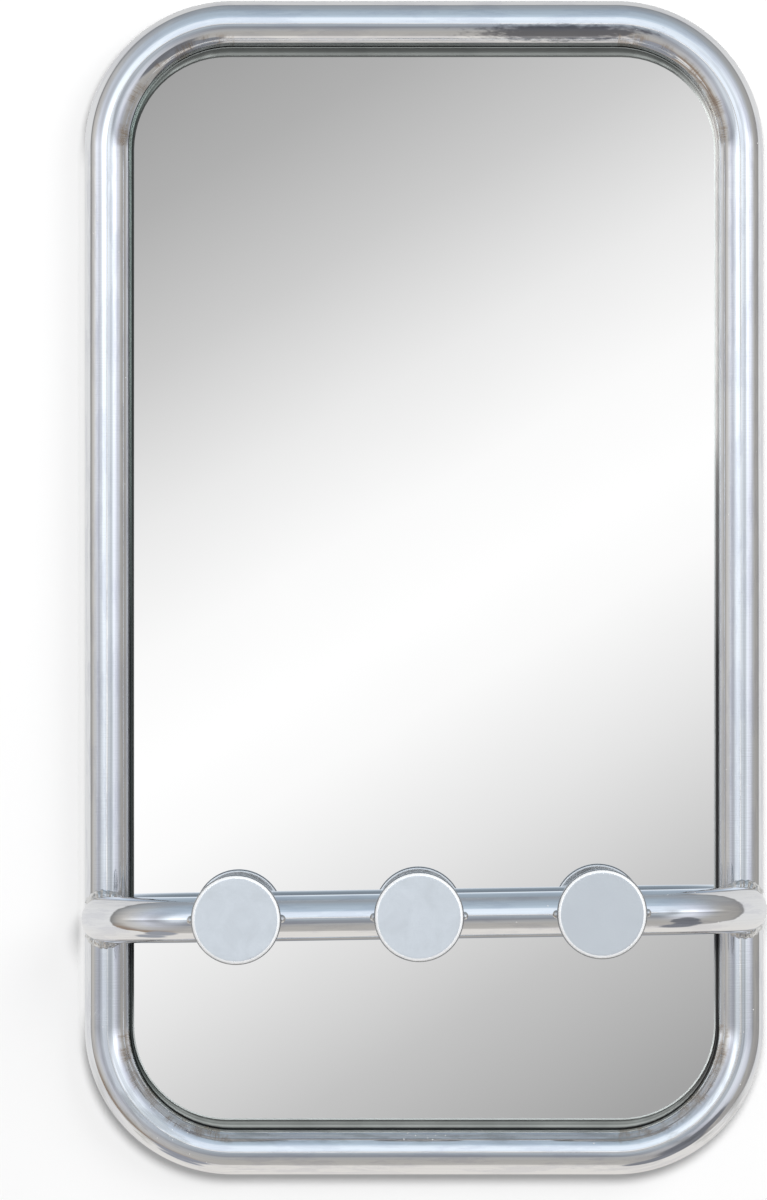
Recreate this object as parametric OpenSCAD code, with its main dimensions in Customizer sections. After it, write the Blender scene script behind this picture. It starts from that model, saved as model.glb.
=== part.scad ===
// Wall mirror in a bent-tube frame, with a rail and three disc pegs standing in front of its lower part.
// Millimetres. +Z is up, +X is to the right and the wall is the plane y = 0, so the front faces -Y.
// The origin lies on the wall, midway between the two keyholes that the mirror hangs from.

/* [Tube] */
// Outside diameter of the bent aluminium tube
tube_d = 25.4; // [22:0.1:28]
// Wall thickness of the tube
tube_wall = 1.5; // [1.2:0.1:2]

/* [Frame] */
// Width of the frame, outside the tube
frame_w = 380; // [360:1:460]
// Height of the frame, outside the tube
frame_h = 657; // [600:1:760]
// Radius of the frame's corners, on the tube's centre line
corner_r = 70; // [55:1:85]
// Gap between the back of the tube and the wall
wall_gap = 1.5; // [1.2:0.1:1.8]

/* [Rail] */
// Width of the rail, outside its two legs, which stand a little wide of the frame
rail_w = 383.5; // [380:0.5:384]
// How far the rail lies below the middle of the frame
rail_drop = 182.5; // [150:0.5:200]
// Distance from the frame tube's centre line forward to the rail's
rail_reach = 64; // [60:1:80]
// Radius of the two bends at the rail's ends, on the tube's centre line
rail_bend_r = 50; // [40:1:50]
// Degrees by which the hand-welded rail rises to the right
rail_tilt = 0.9; // [0:0.1:1.5]

/* [Pegs] */
// Diameter of a disc peg
peg_d = 50; // [40:1:60]
// Thickness of a disc peg
peg_t = 10; // [8:0.5:14]
// Radius of the rounded front rim of a peg
peg_rim_r = 2.2; // [1:0.1:3]
// Distance between the centres of neighbouring pegs
peg_pitch = 101.5; // [80:0.5:110]
// Sideways offset of the whole row of pegs
peg_row_shift = -3; // [-5:0.5:5]

/* [Glass] */
// Thickness of the mirror glass
glass_t = 4; // [3:0.5:5]
// Distance of the glass's face in front of the tube's centre line
glass_lead = 2.5; // [2:0.1:3]
// Radius of the glass's corners
glass_r = 53; // [50:1:56]
// Width of the polished arris round the front of the glass
glass_arris = 0.9; // [0.5:0.1:1.2]
// Width of the sealed joint between the glass and the tube at the two sides
seal_side = 1.4; // [1.2:0.1:4]
// Width of the sealed joint at the top and the bottom
seal_end = 5.2; // [3:0.1:8]
// Depth of the seal's flat below the face of the glass
seal_sink = 1.4; // [1:0.1:2]

/* [Back] */
// Thickness of the protective coat behind the silvering
coat_t = 0.2; // [0.1:0.05:0.4]
// Thickness of the foam tape that holds the glass to its board
tape_t = 1; // [0.8:0.1:1.2]
// Thickness of the backing board
board_t = 3; // [3:0.5:4]
// Clearance between the edge of the board and the tube
board_gap = 0.7; // [0.5:0.1:1]
// Thickness of the metal tabs that the board is screwed to
tab_t = 1.5; // [1:0.1:2]
// Width of a tab, along the tube
tab_w = 16; // [12:1:24]
// How far a tab reaches in over the board
tab_reach = 15; // [12:1:20]

/* [Hanging] */
// Height of the keyholes above the middle of the frame
hanger_rise = 220; // [200:1:225]
// Distance between the two keyholes
hanger_spacing = 300; // [290:1:310]
// Thickness of a hanger plate
hanger_t = 2; // [1.5:0.1:2.5]
// Height of a hanger plate
hanger_h = 36; // [30:1:40]
// Diameter of the keyhole's entry, for the screw's head
keyhole_d = 9; // [8:0.1:10]
// Width of the keyhole's slot, for the screw's shank
keyhole_slot = 4.5; // [4:0.1:5]
// Height of the slot above the entry's centre
keyhole_rise = 10; // [8:1:12]
// Diameter of the wall pads behind the lower corners
pad_d = 14; // [10:1:18]

/* [Hidden] */
$fn = 96;
e = 0.01;

// The tube and the frame
tube_r = tube_d / 2;
bore_r = tube_r - tube_wall;
tube_y = -wall_gap - tube_r;
side_x = frame_w / 2 - tube_r;
frame_z = -hanger_rise;
end_z = frame_h / 2 - tube_r;
corner_x = side_x - corner_r;
corner_z = end_z - corner_r;
opening_w = frame_w - 2 * tube_d;
opening_h = frame_h - 2 * tube_d;
opening_r = corner_r - tube_r;
spigot_l = 60;
spigot_wall = 2;
spigot_play = 0.05;

// The rail: its legs stop just before the tube's centre line, so that their ends saddle the tube
rail_y = tube_y - rail_reach;
rail_z = frame_z - rail_drop;
leg_x = rail_w / 2 - tube_r;
leg_step = leg_x - side_x;
rail_half = leg_x - rail_bend_r;
leg_stop = 1.8;
leg_l = rail_reach - rail_bend_r - leg_stop;
weld_size = 4;
weld_bite = 0.15;
weld_ripple = 0.3;
weld_ripples = 9;
weld_sweep = 116;
weld_turn = 8;
weld_steps = 36;
weld_toe = 22.5;

// The pegs and the welds behind them
peg_back_r = 0.8;
tack_r = 2.6;
tack_sink = 0.8;
peg_weld_r = 2;
peg_weld_l = 26;
peg_weld_z = 7.3;
peg_weld_y = tube_r - 1.2;

// The layers behind the face of the glass, from the front to the back
glass_y = tube_y - glass_lead;
coat_y = glass_y + glass_t;
tape_y = coat_y + coat_t;
board_y = tape_y + tape_t;
tab_y = board_y + board_t;
glass_w = opening_w - 2 * seal_side;
glass_h = opening_h - 2 * seal_end;
board_w = opening_w - 2 * board_gap;
board_h = opening_h - 2 * board_gap;
board_r = opening_r - board_gap;
seal_root = 1.5;
lip_inset = 0.4;
lip_w = 0.6;
lip_h = 0.8;
coat_inset = 0.4;
tape_w = 20;
tape_l = 480;
tape_pitch = 110;

// Tabs and their screws
tab_rise = 150;
screw_r = 1.5;
screw_l = 4;
screw_head_r = 2.8;
screw_head_t = 1.6;
recess_w = 0.8;
recess_t = 0.7;
screw_inset = 6;
sides_of_frame = [-1, 1];

// The hanger plates: each is welded to the back of a side tube
plate_inner_x = hanger_spacing / 2 - 16;
plate_outer_x = side_x + 6;
plate_weld_r = 1.6;
plate_weld_l = 24;
pad_z = frame_z - corner_z + pad_d;

// ---- Shapes that repeat ----

module rounded_rect(w, h, r) {
    square([w - 2 * r, h], center = true);
    square([w, h - 2 * r], center = true);
    for (x = [-1, 1], z = [-1, 1])
        translate([x * (w / 2 - r), z * (h / 2 - r)]) circle(r);
}

// A flat layer in the frame's opening: its front face lies at y, and it is t thick towards the wall
module layer(w, h, r, y, t) {
    translate([0, y + t, frame_z]) rotate([90, 0, 0]) linear_extrude(t) rounded_rect(w, h, r);
}

module tube_run(l) {
    difference() {
        cylinder(r = tube_r, h = l);
        translate([0, 0, -1]) cylinder(r = bore_r, h = l + 2);
    }
}

module tube_bend(r) {
    rotate_extrude(angle = 90) translate([r, 0]) difference() {
        circle(tube_r);
        circle(bore_r);
    }
}

// One corner of the frame; turn 0 is the top right, and each quarter turn goes on to the left
module frame_corner(turn) {
    x = corner_x * (turn == 0 || turn == 270 ? 1 : -1);
    z = corner_z * (turn < 180 ? 1 : -1);
    translate([x, tube_y, frame_z + z]) rotate([90, 0, 0]) rotate([0, 0, turn]) tube_bend(corner_r);
}

// The straight tube across the top (up = 1) or the bottom (up = -1)
module frame_end_run(up) {
    translate([-corner_x, tube_y, frame_z + up * end_z]) rotate([0, 90, 0]) tube_run(2 * corner_x);
}

// The straight stretch of one side tube between two heights
module frame_side_run(side, low, high) {
    translate([side * side_x, tube_y, low]) tube_run(high - low);
}

// The full outside of the frame tube, to cut what fits against it
module frame_outside() {
    for (side = sides_of_frame)
        translate([side * side_x, tube_y, frame_z - corner_z]) cylinder(r = tube_r, h = 2 * corner_z);
    for (up = sides_of_frame)
        translate([-corner_x, tube_y, frame_z + up * end_z]) rotate([0, 90, 0])
            cylinder(r = tube_r, h = 2 * corner_x);
    for (turn = [0:90:270]) {
        x = corner_x * (turn == 0 || turn == 270 ? 1 : -1);
        z = corner_z * (turn < 180 ? 1 : -1);
        translate([x, tube_y, frame_z + z]) rotate([90, 0, 0]) rotate([0, 0, turn])
            rotate_extrude(angle = 90) translate([corner_r, 0]) circle(tube_r);
    }
}

module side_tube_outside(side, mid_z, h) {
    translate([side * side_x, tube_y, mid_z - h / 2]) cylinder(r = tube_r, h = h);
}

// ---- Frame ----

module frame_upper_bend() {
    color("silver") union() {
        frame_side_run(-1, rail_z, frame_z + corner_z);
        frame_corner(90);
        frame_end_run(1);
        frame_corner(0);
        frame_side_run(1, rail_z, frame_z + corner_z);
    }
}

module frame_lower_bend() {
    color("silver") union() {
        frame_side_run(-1, frame_z - corner_z, rail_z);
        frame_corner(180);
        frame_end_run(-1);
        frame_corner(270);
        frame_side_run(1, frame_z - corner_z, rail_z);
    }
}

// A sleeve inside the side tube, across the joint between the upper and the lower bend
module frame_spigot(side) {
    color("darkgray") translate([side * side_x, tube_y, rail_z - spigot_l / 2]) difference() {
        cylinder(r = bore_r - spigot_play, h = spigot_l);
        translate([0, 0, -1]) cylinder(r = bore_r - spigot_wall, h = spigot_l + 2);
    }
}

// ---- Rail ----

// Puts a shape that is drawn about the rail's middle in its place, with the rail's slight rise
module on_rail() {
    translate([0, rail_y, rail_z]) rotate([0, -rail_tilt, 0]) children();
}

module rail_tube() {
    color("silver") difference() {
        on_rail() {
            translate([-rail_half, 0, 0]) rotate([0, 90, 0]) tube_run(2 * rail_half);
            translate([rail_half, rail_bend_r, 0]) rotate([0, 0, -90]) tube_bend(rail_bend_r);
            translate([-rail_half, rail_bend_r, 0]) rotate([0, 0, 180]) tube_bend(rail_bend_r);
            for (side = sides_of_frame)
                translate([side * leg_x, rail_bend_r, 0]) rotate([-90, 0, 0]) tube_run(leg_l);
        }
        for (side = sides_of_frame)
            side_tube_outside(side, rail_z, 3 * tube_d);
    }
}

// Height of the centre of a leg, which the rail's rise moves up or down
function leg_z(side) = rail_z + side * leg_x * sin(rail_tilt);

// Size of the weld bead at a place along it, from 0 to 1: it tapers at both ends and ripples between
function bead_size(place) =
    weld_size * sqrt(sin(180 * (0.04 + 0.92 * place)))
    + weld_ripple * sin(360 * weld_ripples * place);

// How far the side tube's face stands forward of its axis, at r from the leg's axis and a round it
function face_lead(r, a, step) = sqrt(max(0, tube_r ^ 2 - (r * cos(a) + step) ^ 2));

// How far that face falls back, or comes forward, from the saddle's edge out to u beyond the leg
function fall(u, a, step) = face_lead(tube_r + u, a, step) - face_lead(tube_r, a, step);

// Section of the bead as [out from the leg, forward along it]: a root, two toes and a rounded crown
function bead_section(b, a, step) = [
    [-weld_bite, -weld_bite],
    [b, fall(b, a, step) - weld_bite],
    for (t = [weld_toe:weld_toe:3 * weld_toe]) [b * cos(t), b * sin(t) + fall(b, a, step) * cos(t)],
    [-weld_bite, b]
];

// One pass of weld along the saddle between a leg and the side tube, above it (up = 1) or below it.
// The pass reaches further round on the leg's inner side, where the tube's face comes to meet it.
module saddle_bead(side, up) {
    step = side * leg_step;
    middle = up * (90 + side * weld_turn);
    n = len(bead_section(weld_size, middle, step));
    last = weld_steps * n;
    points = [
        for (i = [0:weld_steps])
            let (place = i / weld_steps, a = middle + weld_sweep * (place - 0.5))
            for (p = bead_section(bead_size(place), a, step))
                [(tube_r + p[0]) * cos(a), -face_lead(tube_r, a, step) - p[1], (tube_r + p[0]) * sin(a)]
    ];
    walls = [
        for (i = [0:weld_steps - 1], k = [0:n - 1])
            let (p = i * n + k, q = i * n + (k + 1) % n)
            each [[p, q, p + n], [q, q + n, p + n]]
    ];
    caps = [
        for (k = [1:n - 2])
            each [[0, k + 1, k], [last, last + k, last + k + 1]]
    ];
    polyhedron(points, concat(walls, caps));
}

module rail_weld(side) {
    color("gainsboro") translate([side * leg_x, tube_y, leg_z(side)]) for (up = [1, -1])
        saddle_bead(side, up);
}

// ---- Pegs ----

function peg_x(i) = peg_row_shift + i * peg_pitch;

// Half the section of a disc, from its back face forward, with a rounded front rim and an eased back edge
module peg_section() {
    r = peg_d / 2;
    translate([0, peg_back_r]) square([r, peg_t - peg_rim_r - peg_back_r]);
    square([r - peg_back_r, peg_t]);
    translate([r - peg_back_r - e, peg_back_r]) circle(peg_back_r + e);
    difference() {
        translate([r - peg_rim_r, peg_t - peg_rim_r]) circle(peg_rim_r);
        square([r, peg_back_r]);
    }
}

module peg_disc(i) {
    color("lightsteelblue") on_rail() translate([peg_x(i), -tube_r, 0]) rotate([90, 0, 0])
        rotate_extrude() peg_section();
}

// A tack of weld on the rail's crown, against the rim of the disc on one side
module peg_tack(side) {
    difference() {
        translate([side * peg_d / 2, tack_sink - tube_r, 0]) sphere(tack_r);
        translate([-peg_d, 0, 0]) rotate([0, 90, 0]) cylinder(r = tube_r, h = 2 * peg_d);
        translate([0, tack_r - tube_r, 0]) rotate([90, 0, 0]) cylinder(r = peg_d / 2, h = peg_t);
    }
}

// A fillet of weld behind the disc, in the groove above (up = 1) or below its line of contact
module peg_fillet(up) {
    difference() {
        translate([-peg_weld_l / 2, -peg_weld_y, up * peg_weld_z]) rotate([0, 90, 0])
            cylinder(r = peg_weld_r, h = peg_weld_l);
        translate([-peg_d, 0, 0]) rotate([0, 90, 0]) cylinder(r = tube_r, h = 2 * peg_d);
        translate([0, -tube_r - peg_t / 2, 0]) cube([2 * peg_d, peg_t, 2 * peg_d], center = true);
    }
}

module peg_weld(i) {
    color("gainsboro") on_rail() translate([peg_x(i), 0, 0]) {
        for (side = [-1, 1]) {
            peg_tack(side);
            peg_fillet(side);
        }
    }
}

// ---- Glass and what lies behind it ----

// Section of the pane from the centre of a corner out to its edge, with the arris at the front
module pane_rim() {
    polygon([[0, 0], [glass_r - glass_arris, 0], [glass_r, glass_arris], [glass_r, glass_t], [0, glass_t]]);
}

module mirror_glass() {
    half_x = glass_w / 2 - glass_r;
    half_z = glass_h / 2 - glass_r;
    color("lightblue") translate([0, glass_y, frame_z]) {
        translate([-half_x, 0, -half_z]) cube([2 * half_x, glass_t, 2 * half_z]);
        for (turn = [0:90:270]) {
            out = turn % 180 == 0 ? half_x : half_z;
            along = turn % 180 == 0 ? half_z : half_x;
            rotate([0, turn, 0]) translate([out, 0, -along]) {
                linear_extrude(2 * along) pane_rim();
                rotate([-90, 0, 0]) rotate_extrude(angle = 90) pane_rim();
            }
        }
    }
}

module silver_coat() {
    color("slategray")
        layer(glass_w - 2 * coat_inset, glass_h - 2 * coat_inset, glass_r - coat_inset, coat_y, coat_t);
}

// A layer with the outline of the frame's opening, drawn in by an inset
module opening_layer(inset, y, t) {
    layer(opening_w - 2 * inset, opening_h - 2 * inset, opening_r - inset, y, t);
}

// The seal round the glass, cut to the tube's round flank: a flat with a raised lip beside the tube
module edge_seal() {
    flat_y = glass_y + seal_sink;
    lip_y = flat_y - lip_h;
    color("darkslategray") difference() {
        union() {
            opening_layer(-seal_root, flat_y, coat_y - flat_y);
            opening_layer(lip_inset, lip_y, coat_y - lip_y);
        }
        opening_layer(lip_inset + lip_w, lip_y - 1, lip_h + 1);
        layer(glass_w, glass_h, glass_r, glass_y, glass_t + 1);
        frame_outside();
    }
}

module foam_tape() {
    color("white") for (i = [-1:1])
        translate([i * tape_pitch - tape_w / 2, tape_y, frame_z - tape_l / 2]) cube([tape_w, tape_t, tape_l]);
}

// Puts a shape at one tab's screw: x runs outwards along the tab, y back to the wall
module at_tab(side, z) {
    translate([side * opening_w / 2, 0, frame_z + z]) rotate([0, side > 0 ? 0 : 180, 0]) children();
}

module at_end_tab(up) {
    translate([0, 0, frame_z + up * opening_h / 2]) rotate([0, -up * 90, 0]) children();
}

module at_each_tab() {
    for (side = sides_of_frame, rise = sides_of_frame)
        at_tab(side, rise * tab_rise) children();
    for (up = sides_of_frame)
        at_end_tab(up) children();
}

module backing_board() {
    color("burlywood") difference() {
        layer(board_w, board_h, board_r, board_y, board_t);
        at_each_tab() translate([-tab_reach + screw_inset, tab_y - screw_l + tab_t, 0]) rotate([-90, 0, 0])
            cylinder(r = screw_r, h = screw_l);
    }
}

// One tab, drawn towards +X: it lies on the board and its outer end runs into the tube
module tab_blank() {
    difference() {
        translate([-tab_reach, tab_y, -tab_w / 2]) cube([tab_reach + 4, tab_t, tab_w]);
        translate([-tab_reach + screw_inset, tab_y - 1, 0]) rotate([-90, 0, 0])
            cylinder(r = screw_r + 0.1, h = tab_t + 2);
        translate([tube_r, tube_y, -tab_w]) cylinder(r = tube_r, h = 2 * tab_w);
    }
}

module side_tabs(side) {
    color("silver") for (rise = sides_of_frame)
        at_tab(side, rise * tab_rise) tab_blank();
}

module end_tab(up) {
    color("silver") at_end_tab(up) tab_blank();
}

// A pan-headed screw with a cross recess, from the back into the board
module board_screw() {
    head_y = tab_y + tab_t;
    difference() {
        translate([0, head_y - screw_l, 0]) rotate([-90, 0, 0]) {
            cylinder(r = screw_r, h = screw_l + e);
            translate([0, 0, screw_l]) cylinder(r = screw_head_r, h = screw_head_t);
        }
        for (turn = [0, 90])
            translate([0, head_y + screw_head_t, 0]) rotate([0, turn, 0])
                cube([2 * screw_head_r - 1.6, 2 * recess_t, recess_w], center = true);
    }
}

module tab_screws() {
    color("dimgray") at_each_tab() translate([-tab_reach + screw_inset, 0, 0]) board_screw();
}

// ---- Hanging ----

module hanger_plate(side) {
    color("silver") difference() {
        translate([side > 0 ? plate_inner_x : -plate_outer_x, -hanger_t, -hanger_h / 2 + keyhole_rise / 2])
            cube([plate_outer_x - plate_inner_x, hanger_t, hanger_h]);
        translate([side * hanger_spacing / 2, -hanger_t - 1, 0]) rotate([-90, 0, 0]) {
            cylinder(d = keyhole_d, h = hanger_t + 2);
            translate([0, -keyhole_rise, 0]) cylinder(d = keyhole_slot, h = hanger_t + 2);
            translate([-keyhole_slot / 2, -keyhole_rise, 0]) cube([keyhole_slot, keyhole_rise, hanger_t + 2]);
        }
        side_tube_outside(side, 0, 2 * hanger_h);
    }
}

// The bead that joins a hanger plate to the tube, in the groove on the plate's inner side
module hanger_weld(side) {
    color("gainsboro") difference() {
        translate([side * (side_x - 6.5), -hanger_t - 0.6, (keyhole_rise - plate_weld_l) / 2])
            cylinder(r = plate_weld_r, h = plate_weld_l);
        side_tube_outside(side, 0, 2 * hanger_h);
        translate([side * side_x, -hanger_t / 2, 0]) cube([2 * side_x, hanger_t, 2 * hanger_h], center = true);
    }
}

// A soft pad between the tube and the wall, hollowed to sit on the round tube
module wall_pad(side) {
    color("dimgray") difference() {
        translate([side * side_x, 0, pad_z]) rotate([90, 0, 0]) cylinder(d = pad_d, h = wall_gap + 1.5);
        side_tube_outside(side, pad_z, 3 * pad_d);
    }
}

frame_upper_bend();
frame_lower_bend();
frame_spigot(-1);  // frame_spigot_left
frame_spigot(1);  // frame_spigot_right
rail_tube();
rail_weld(-1);  // rail_weld_left
rail_weld(1);  // rail_weld_right
peg_disc(-1);  // peg_disc_left
peg_disc(0);  // peg_disc_middle
peg_disc(1);  // peg_disc_right
peg_weld(-1);  // peg_weld_left
peg_weld(0);  // peg_weld_middle
peg_weld(1);  // peg_weld_right
mirror_glass();
silver_coat();
edge_seal();
foam_tape();
backing_board();
side_tabs(-1);  // tabs_left
side_tabs(1);  // tabs_right
end_tab(1);  // tab_top
end_tab(-1);  // tab_bottom
tab_screws();
hanger_plate(-1);  // hanger_plate_left
hanger_plate(1);  // hanger_plate_right
hanger_weld(-1);  // hanger_weld_left
hanger_weld(1);  // hanger_weld_right
wall_pad(-1);  // wall_pad_left
wall_pad(1);  // wall_pad_right
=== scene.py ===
"""A hallway mirror in a polished tube frame, with a rail and three disc pegs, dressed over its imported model.

Lengths are in metres. +Z is up, +X is to the right and the wall is the plane y = 0, so the front faces -Y.
"""
import math

import bmesh
import bpy
from mathutils import Matrix, Vector, noise


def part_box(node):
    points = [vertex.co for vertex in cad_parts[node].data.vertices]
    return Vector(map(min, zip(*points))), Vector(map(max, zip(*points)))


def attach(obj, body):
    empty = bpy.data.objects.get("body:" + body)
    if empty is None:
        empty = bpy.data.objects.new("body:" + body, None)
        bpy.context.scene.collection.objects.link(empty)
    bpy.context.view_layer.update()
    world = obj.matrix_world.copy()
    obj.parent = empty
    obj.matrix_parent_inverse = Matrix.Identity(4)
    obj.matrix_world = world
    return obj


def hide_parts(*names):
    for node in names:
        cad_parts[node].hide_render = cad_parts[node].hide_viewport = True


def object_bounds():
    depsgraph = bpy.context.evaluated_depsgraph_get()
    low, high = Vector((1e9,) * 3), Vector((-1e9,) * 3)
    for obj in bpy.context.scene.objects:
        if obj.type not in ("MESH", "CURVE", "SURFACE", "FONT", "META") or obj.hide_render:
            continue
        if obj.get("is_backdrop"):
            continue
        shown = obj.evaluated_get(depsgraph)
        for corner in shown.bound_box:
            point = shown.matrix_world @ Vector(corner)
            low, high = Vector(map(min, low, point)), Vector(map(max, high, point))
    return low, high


bl_info = {
    "name": "Tube Mirror",
    "version": (1, 0, 0),
    "blender": (4, 5, 0),
    "location": "3D View > Sidebar > Mirror",
    "description": "Builds the finished pieces of a wall mirror with a rail and disc pegs",
    "category": "Object",
}

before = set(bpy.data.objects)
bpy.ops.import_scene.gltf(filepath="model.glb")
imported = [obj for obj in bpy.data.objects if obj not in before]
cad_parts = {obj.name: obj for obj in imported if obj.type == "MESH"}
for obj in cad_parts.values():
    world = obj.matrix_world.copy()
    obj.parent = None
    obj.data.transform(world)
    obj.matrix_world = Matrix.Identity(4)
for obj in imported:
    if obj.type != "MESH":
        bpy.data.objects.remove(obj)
cad_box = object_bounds()

MM = 0.001
MICRON = 0.000001
# Angles above which the edge between two faces stays sharp: on most pieces, on eased ones and on weld beads
SHARP = math.radians(38)
SHARP_EASED = math.radians(17)
SHARP_WELD = math.radians(180)
# Angle above which an edge of a plate, a tab or a screw is eased
CREASE = math.radians(40)

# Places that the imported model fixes
FRAME_LOW, FRAME_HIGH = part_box("frame_upper_bend")
FRAME_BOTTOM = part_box("frame_lower_bend")[0].z
RAIL_LOW, RAIL_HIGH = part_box("rail_tube")
PEG_NODES = ("peg_disc_left", "peg_disc_middle", "peg_disc_right")
SIDES = ("left", "right")


def middle_of(node):
    """Middle of a node's box."""
    low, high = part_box(node)
    return (low + high) / 2


TUBE_Y = (FRAME_LOW.y + FRAME_HIGH.y) / 2
FRAME_Z = (FRAME_HIGH.z + FRAME_BOTTOM) / 2
JOINT_Z = FRAME_LOW.z
PEG_STEP = middle_of("peg_disc_right") - middle_of("peg_disc_left")
RAIL_TILT = math.atan2(PEG_STEP.z, PEG_STEP.x)
PEG_LOW, PEG_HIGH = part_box("peg_disc_middle")
PEG_RADIUS = (PEG_HIGH.z - PEG_LOW.z) / 2
PEG_DEPTH = PEG_HIGH.y - PEG_LOW.y
# A disc's ring of faces inside its rounded rim, its faces round, and the steps across its rim and its back edge
PEG_BAND = 0.8 * MM
PEG_SIDES = 144
PEG_RIM_STEPS = 12
PEG_BACK_STEPS = 5
# Half the height of the side tubes' straight part
STRAIGHT_HALF = 235 * MM
# How much less the radius of the glass's corners is than that of the tube's inner side
GLASS_CORNER_STEP = 4.3 * MM
# Pitch of the screen that the press leaves on the back of the board
SCREEN_PITCH = 1.6 * MM
# Lumps of a weld bead: how many to a metre, and their share of the full height
WELD_LUMPS = ((420, 1.0), (1100, 0.4))


# ---- Settings ----


class MirrorSizes(bpy.types.PropertyGroup):
    tube_diameter: bpy.props.FloatProperty(
        name="Tube diameter", description="Outside diameter of the tube", default=0.0254, unit="LENGTH"
    )
    tube_wall: bpy.props.FloatProperty(
        name="Tube wall", description="Wall thickness of the tube", default=0.0015, unit="LENGTH"
    )
    corner_radius: bpy.props.FloatProperty(
        name="Corner radius",
        description="Radius of the frame's corners, on the tube's centre line",
        default=0.07,
        unit="LENGTH",
    )
    bend_radius: bpy.props.FloatProperty(
        name="Rail bend radius",
        description="Radius of the rail's two bends, on the tube's centre line",
        default=0.05,
        unit="LENGTH",
    )
    leg_stop: bpy.props.FloatProperty(
        name="Leg stop",
        description="How far in front of the side tube's centre line a leg of the rail ends at most",
        default=0.0018,
        unit="LENGTH",
    )
    peg_rim: bpy.props.FloatProperty(
        name="Peg rim", description="Radius of a disc's rounded front rim", default=0.0022, unit="LENGTH"
    )
    peg_back: bpy.props.FloatProperty(
        name="Peg back edge", description="Radius of a disc's back edge", default=0.0008, unit="LENGTH"
    )
    sheet_edge: bpy.props.FloatProperty(
        name="Sheet edge",
        description="Width of the eased edges of plates, tabs and screw heads",
        default=0.00025,
        unit="LENGTH",
    )
    tube_sides: bpy.props.IntProperty(
        name="Tube sides", description="Faces round a tube", default=112, min=24, max=160
    )
    bend_steps: bpy.props.IntProperty(
        name="Bend steps", description="Rings along a bend of a quarter turn", default=44, min=12, max=72
    )


class MirrorColours(bpy.types.PropertyGroup):
    tube: bpy.props.FloatVectorProperty(
        name="Tube", description="Polished aluminium tube", subtype="COLOR", default=(0.92, 0.93, 0.945)
    )
    peg: bpy.props.FloatVectorProperty(
        name="Pegs", description="Satin face of the disc pegs", subtype="COLOR", default=(0.97, 0.985, 0.995)
    )
    weld: bpy.props.FloatVectorProperty(
        name="Weld", description="Bare weld bead", subtype="COLOR", default=(0.90, 0.90, 0.89)
    )
    mirror: bpy.props.FloatVectorProperty(
        name="Mirror", description="Silvering under the glass", subtype="COLOR", default=(0.88, 0.88, 0.88)
    )
    glass_edge: bpy.props.FloatVectorProperty(
        name="Glass edge", description="Polished edge of the glass", subtype="COLOR", default=(0.92, 0.97, 0.95)
    )
    seal: bpy.props.FloatVectorProperty(
        name="Seal",
        description="Tint of the seal above and below the glass",
        subtype="COLOR",
        default=(0.97, 1.03, 1.0),
    )
    coat: bpy.props.FloatVectorProperty(
        name="Back coat", description="Lacquer behind the silvering", subtype="COLOR", default=(0.16, 0.20, 0.19)
    )
    foam: bpy.props.FloatVectorProperty(
        name="Foam tape", description="White foam tape", subtype="COLOR", default=(0.80, 0.80, 0.77)
    )
    board: bpy.props.FloatVectorProperty(
        name="Board", description="Pressed hardboard", subtype="COLOR", default=(0.235, 0.125, 0.062)
    )
    mill: bpy.props.FloatVectorProperty(
        name="Mill finish", description="Plates, tabs and sleeves", subtype="COLOR", default=(0.72, 0.73, 0.74)
    )
    screw: bpy.props.FloatVectorProperty(
        name="Screws", description="Zinc plated steel", subtype="COLOR", default=(0.62, 0.63, 0.62)
    )
    rubber: bpy.props.FloatVectorProperty(
        name="Rubber", description="Soft wall pads", subtype="COLOR", default=(0.032, 0.032, 0.034)
    )


class MirrorStudio(bpy.types.PropertyGroup):
    camera_distance: bpy.props.FloatProperty(
        name="Camera distance",
        description="Distance from the camera to the tube's centre plane",
        default=8.0,
        unit="LENGTH",
    )
    view_height: bpy.props.FloatProperty(
        name="View height", description="Height that the picture takes in", default=0.672, unit="LENGTH"
    )
    view_centre: bpy.props.FloatVectorProperty(
        name="View centre",
        description="Point on the wall that the camera faces",
        default=(-0.0227, 0.0, -0.2269),
        unit="LENGTH",
    )
    wall: bpy.props.FloatVectorProperty(
        name="Wall", description="Colour of the wall", subtype="COLOR", default=(0.93, 0.93, 0.93)
    )
    floor: bpy.props.FloatVectorProperty(
        name="Floor", description="Colour of the floor", subtype="COLOR", default=(0.88, 0.88, 0.87)
    )
    ambient: bpy.props.FloatProperty(
        name="Ambient", description="Level of the even light from all round", default=0.30, min=0.0, max=1.0
    )
    key_power: bpy.props.FloatProperty(
        name="Key light", description="Power of the soft light beside the camera", default=119.0, unit="POWER"
    )
    fill_power: bpy.props.FloatProperty(
        name="Fill light", description="Power of the wide soft light on the right", default=22.0, unit="POWER"
    )


def settings():
    """The three groups of settings of the scene."""
    scene = bpy.context.scene
    return scene.mirror_sizes, scene.mirror_colours, scene.mirror_studio


# ---- Material helpers ----


def feed(tree, socket, value):
    """Links an output to a socket, or sets the socket to a number, a vector or a colour."""
    if isinstance(value, bpy.types.NodeSocket):
        tree.links.new(value, socket)
    elif socket.type == "RGBA":
        socket.default_value = (*value[:3], 1)
    else:
        socket.default_value = value


def add(tree, kind, **values):
    """A node of a kind with its properties and inputs set; an input goes by its name, with _ for a space."""
    node = tree.nodes.new(kind)
    for key, value in values.items():
        if hasattr(node, key):
            setattr(node, key, value)
        else:
            feed(tree, node.inputs[key.replace("_", " ")], value)
    return node


def math_node(tree, operation, *values, clamp=False):
    """Output of a Math node fed with sockets or numbers; with more than two, of a row of such nodes."""
    node = add(tree, "ShaderNodeMath", operation=operation, use_clamp=clamp)
    for socket, value in zip(node.inputs, values[:2]):
        feed(tree, socket, value)
    if len(values) > 2:
        return math_node(tree, operation, node.outputs[0], *values[2:], clamp=clamp)
    return node.outputs[0]


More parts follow.
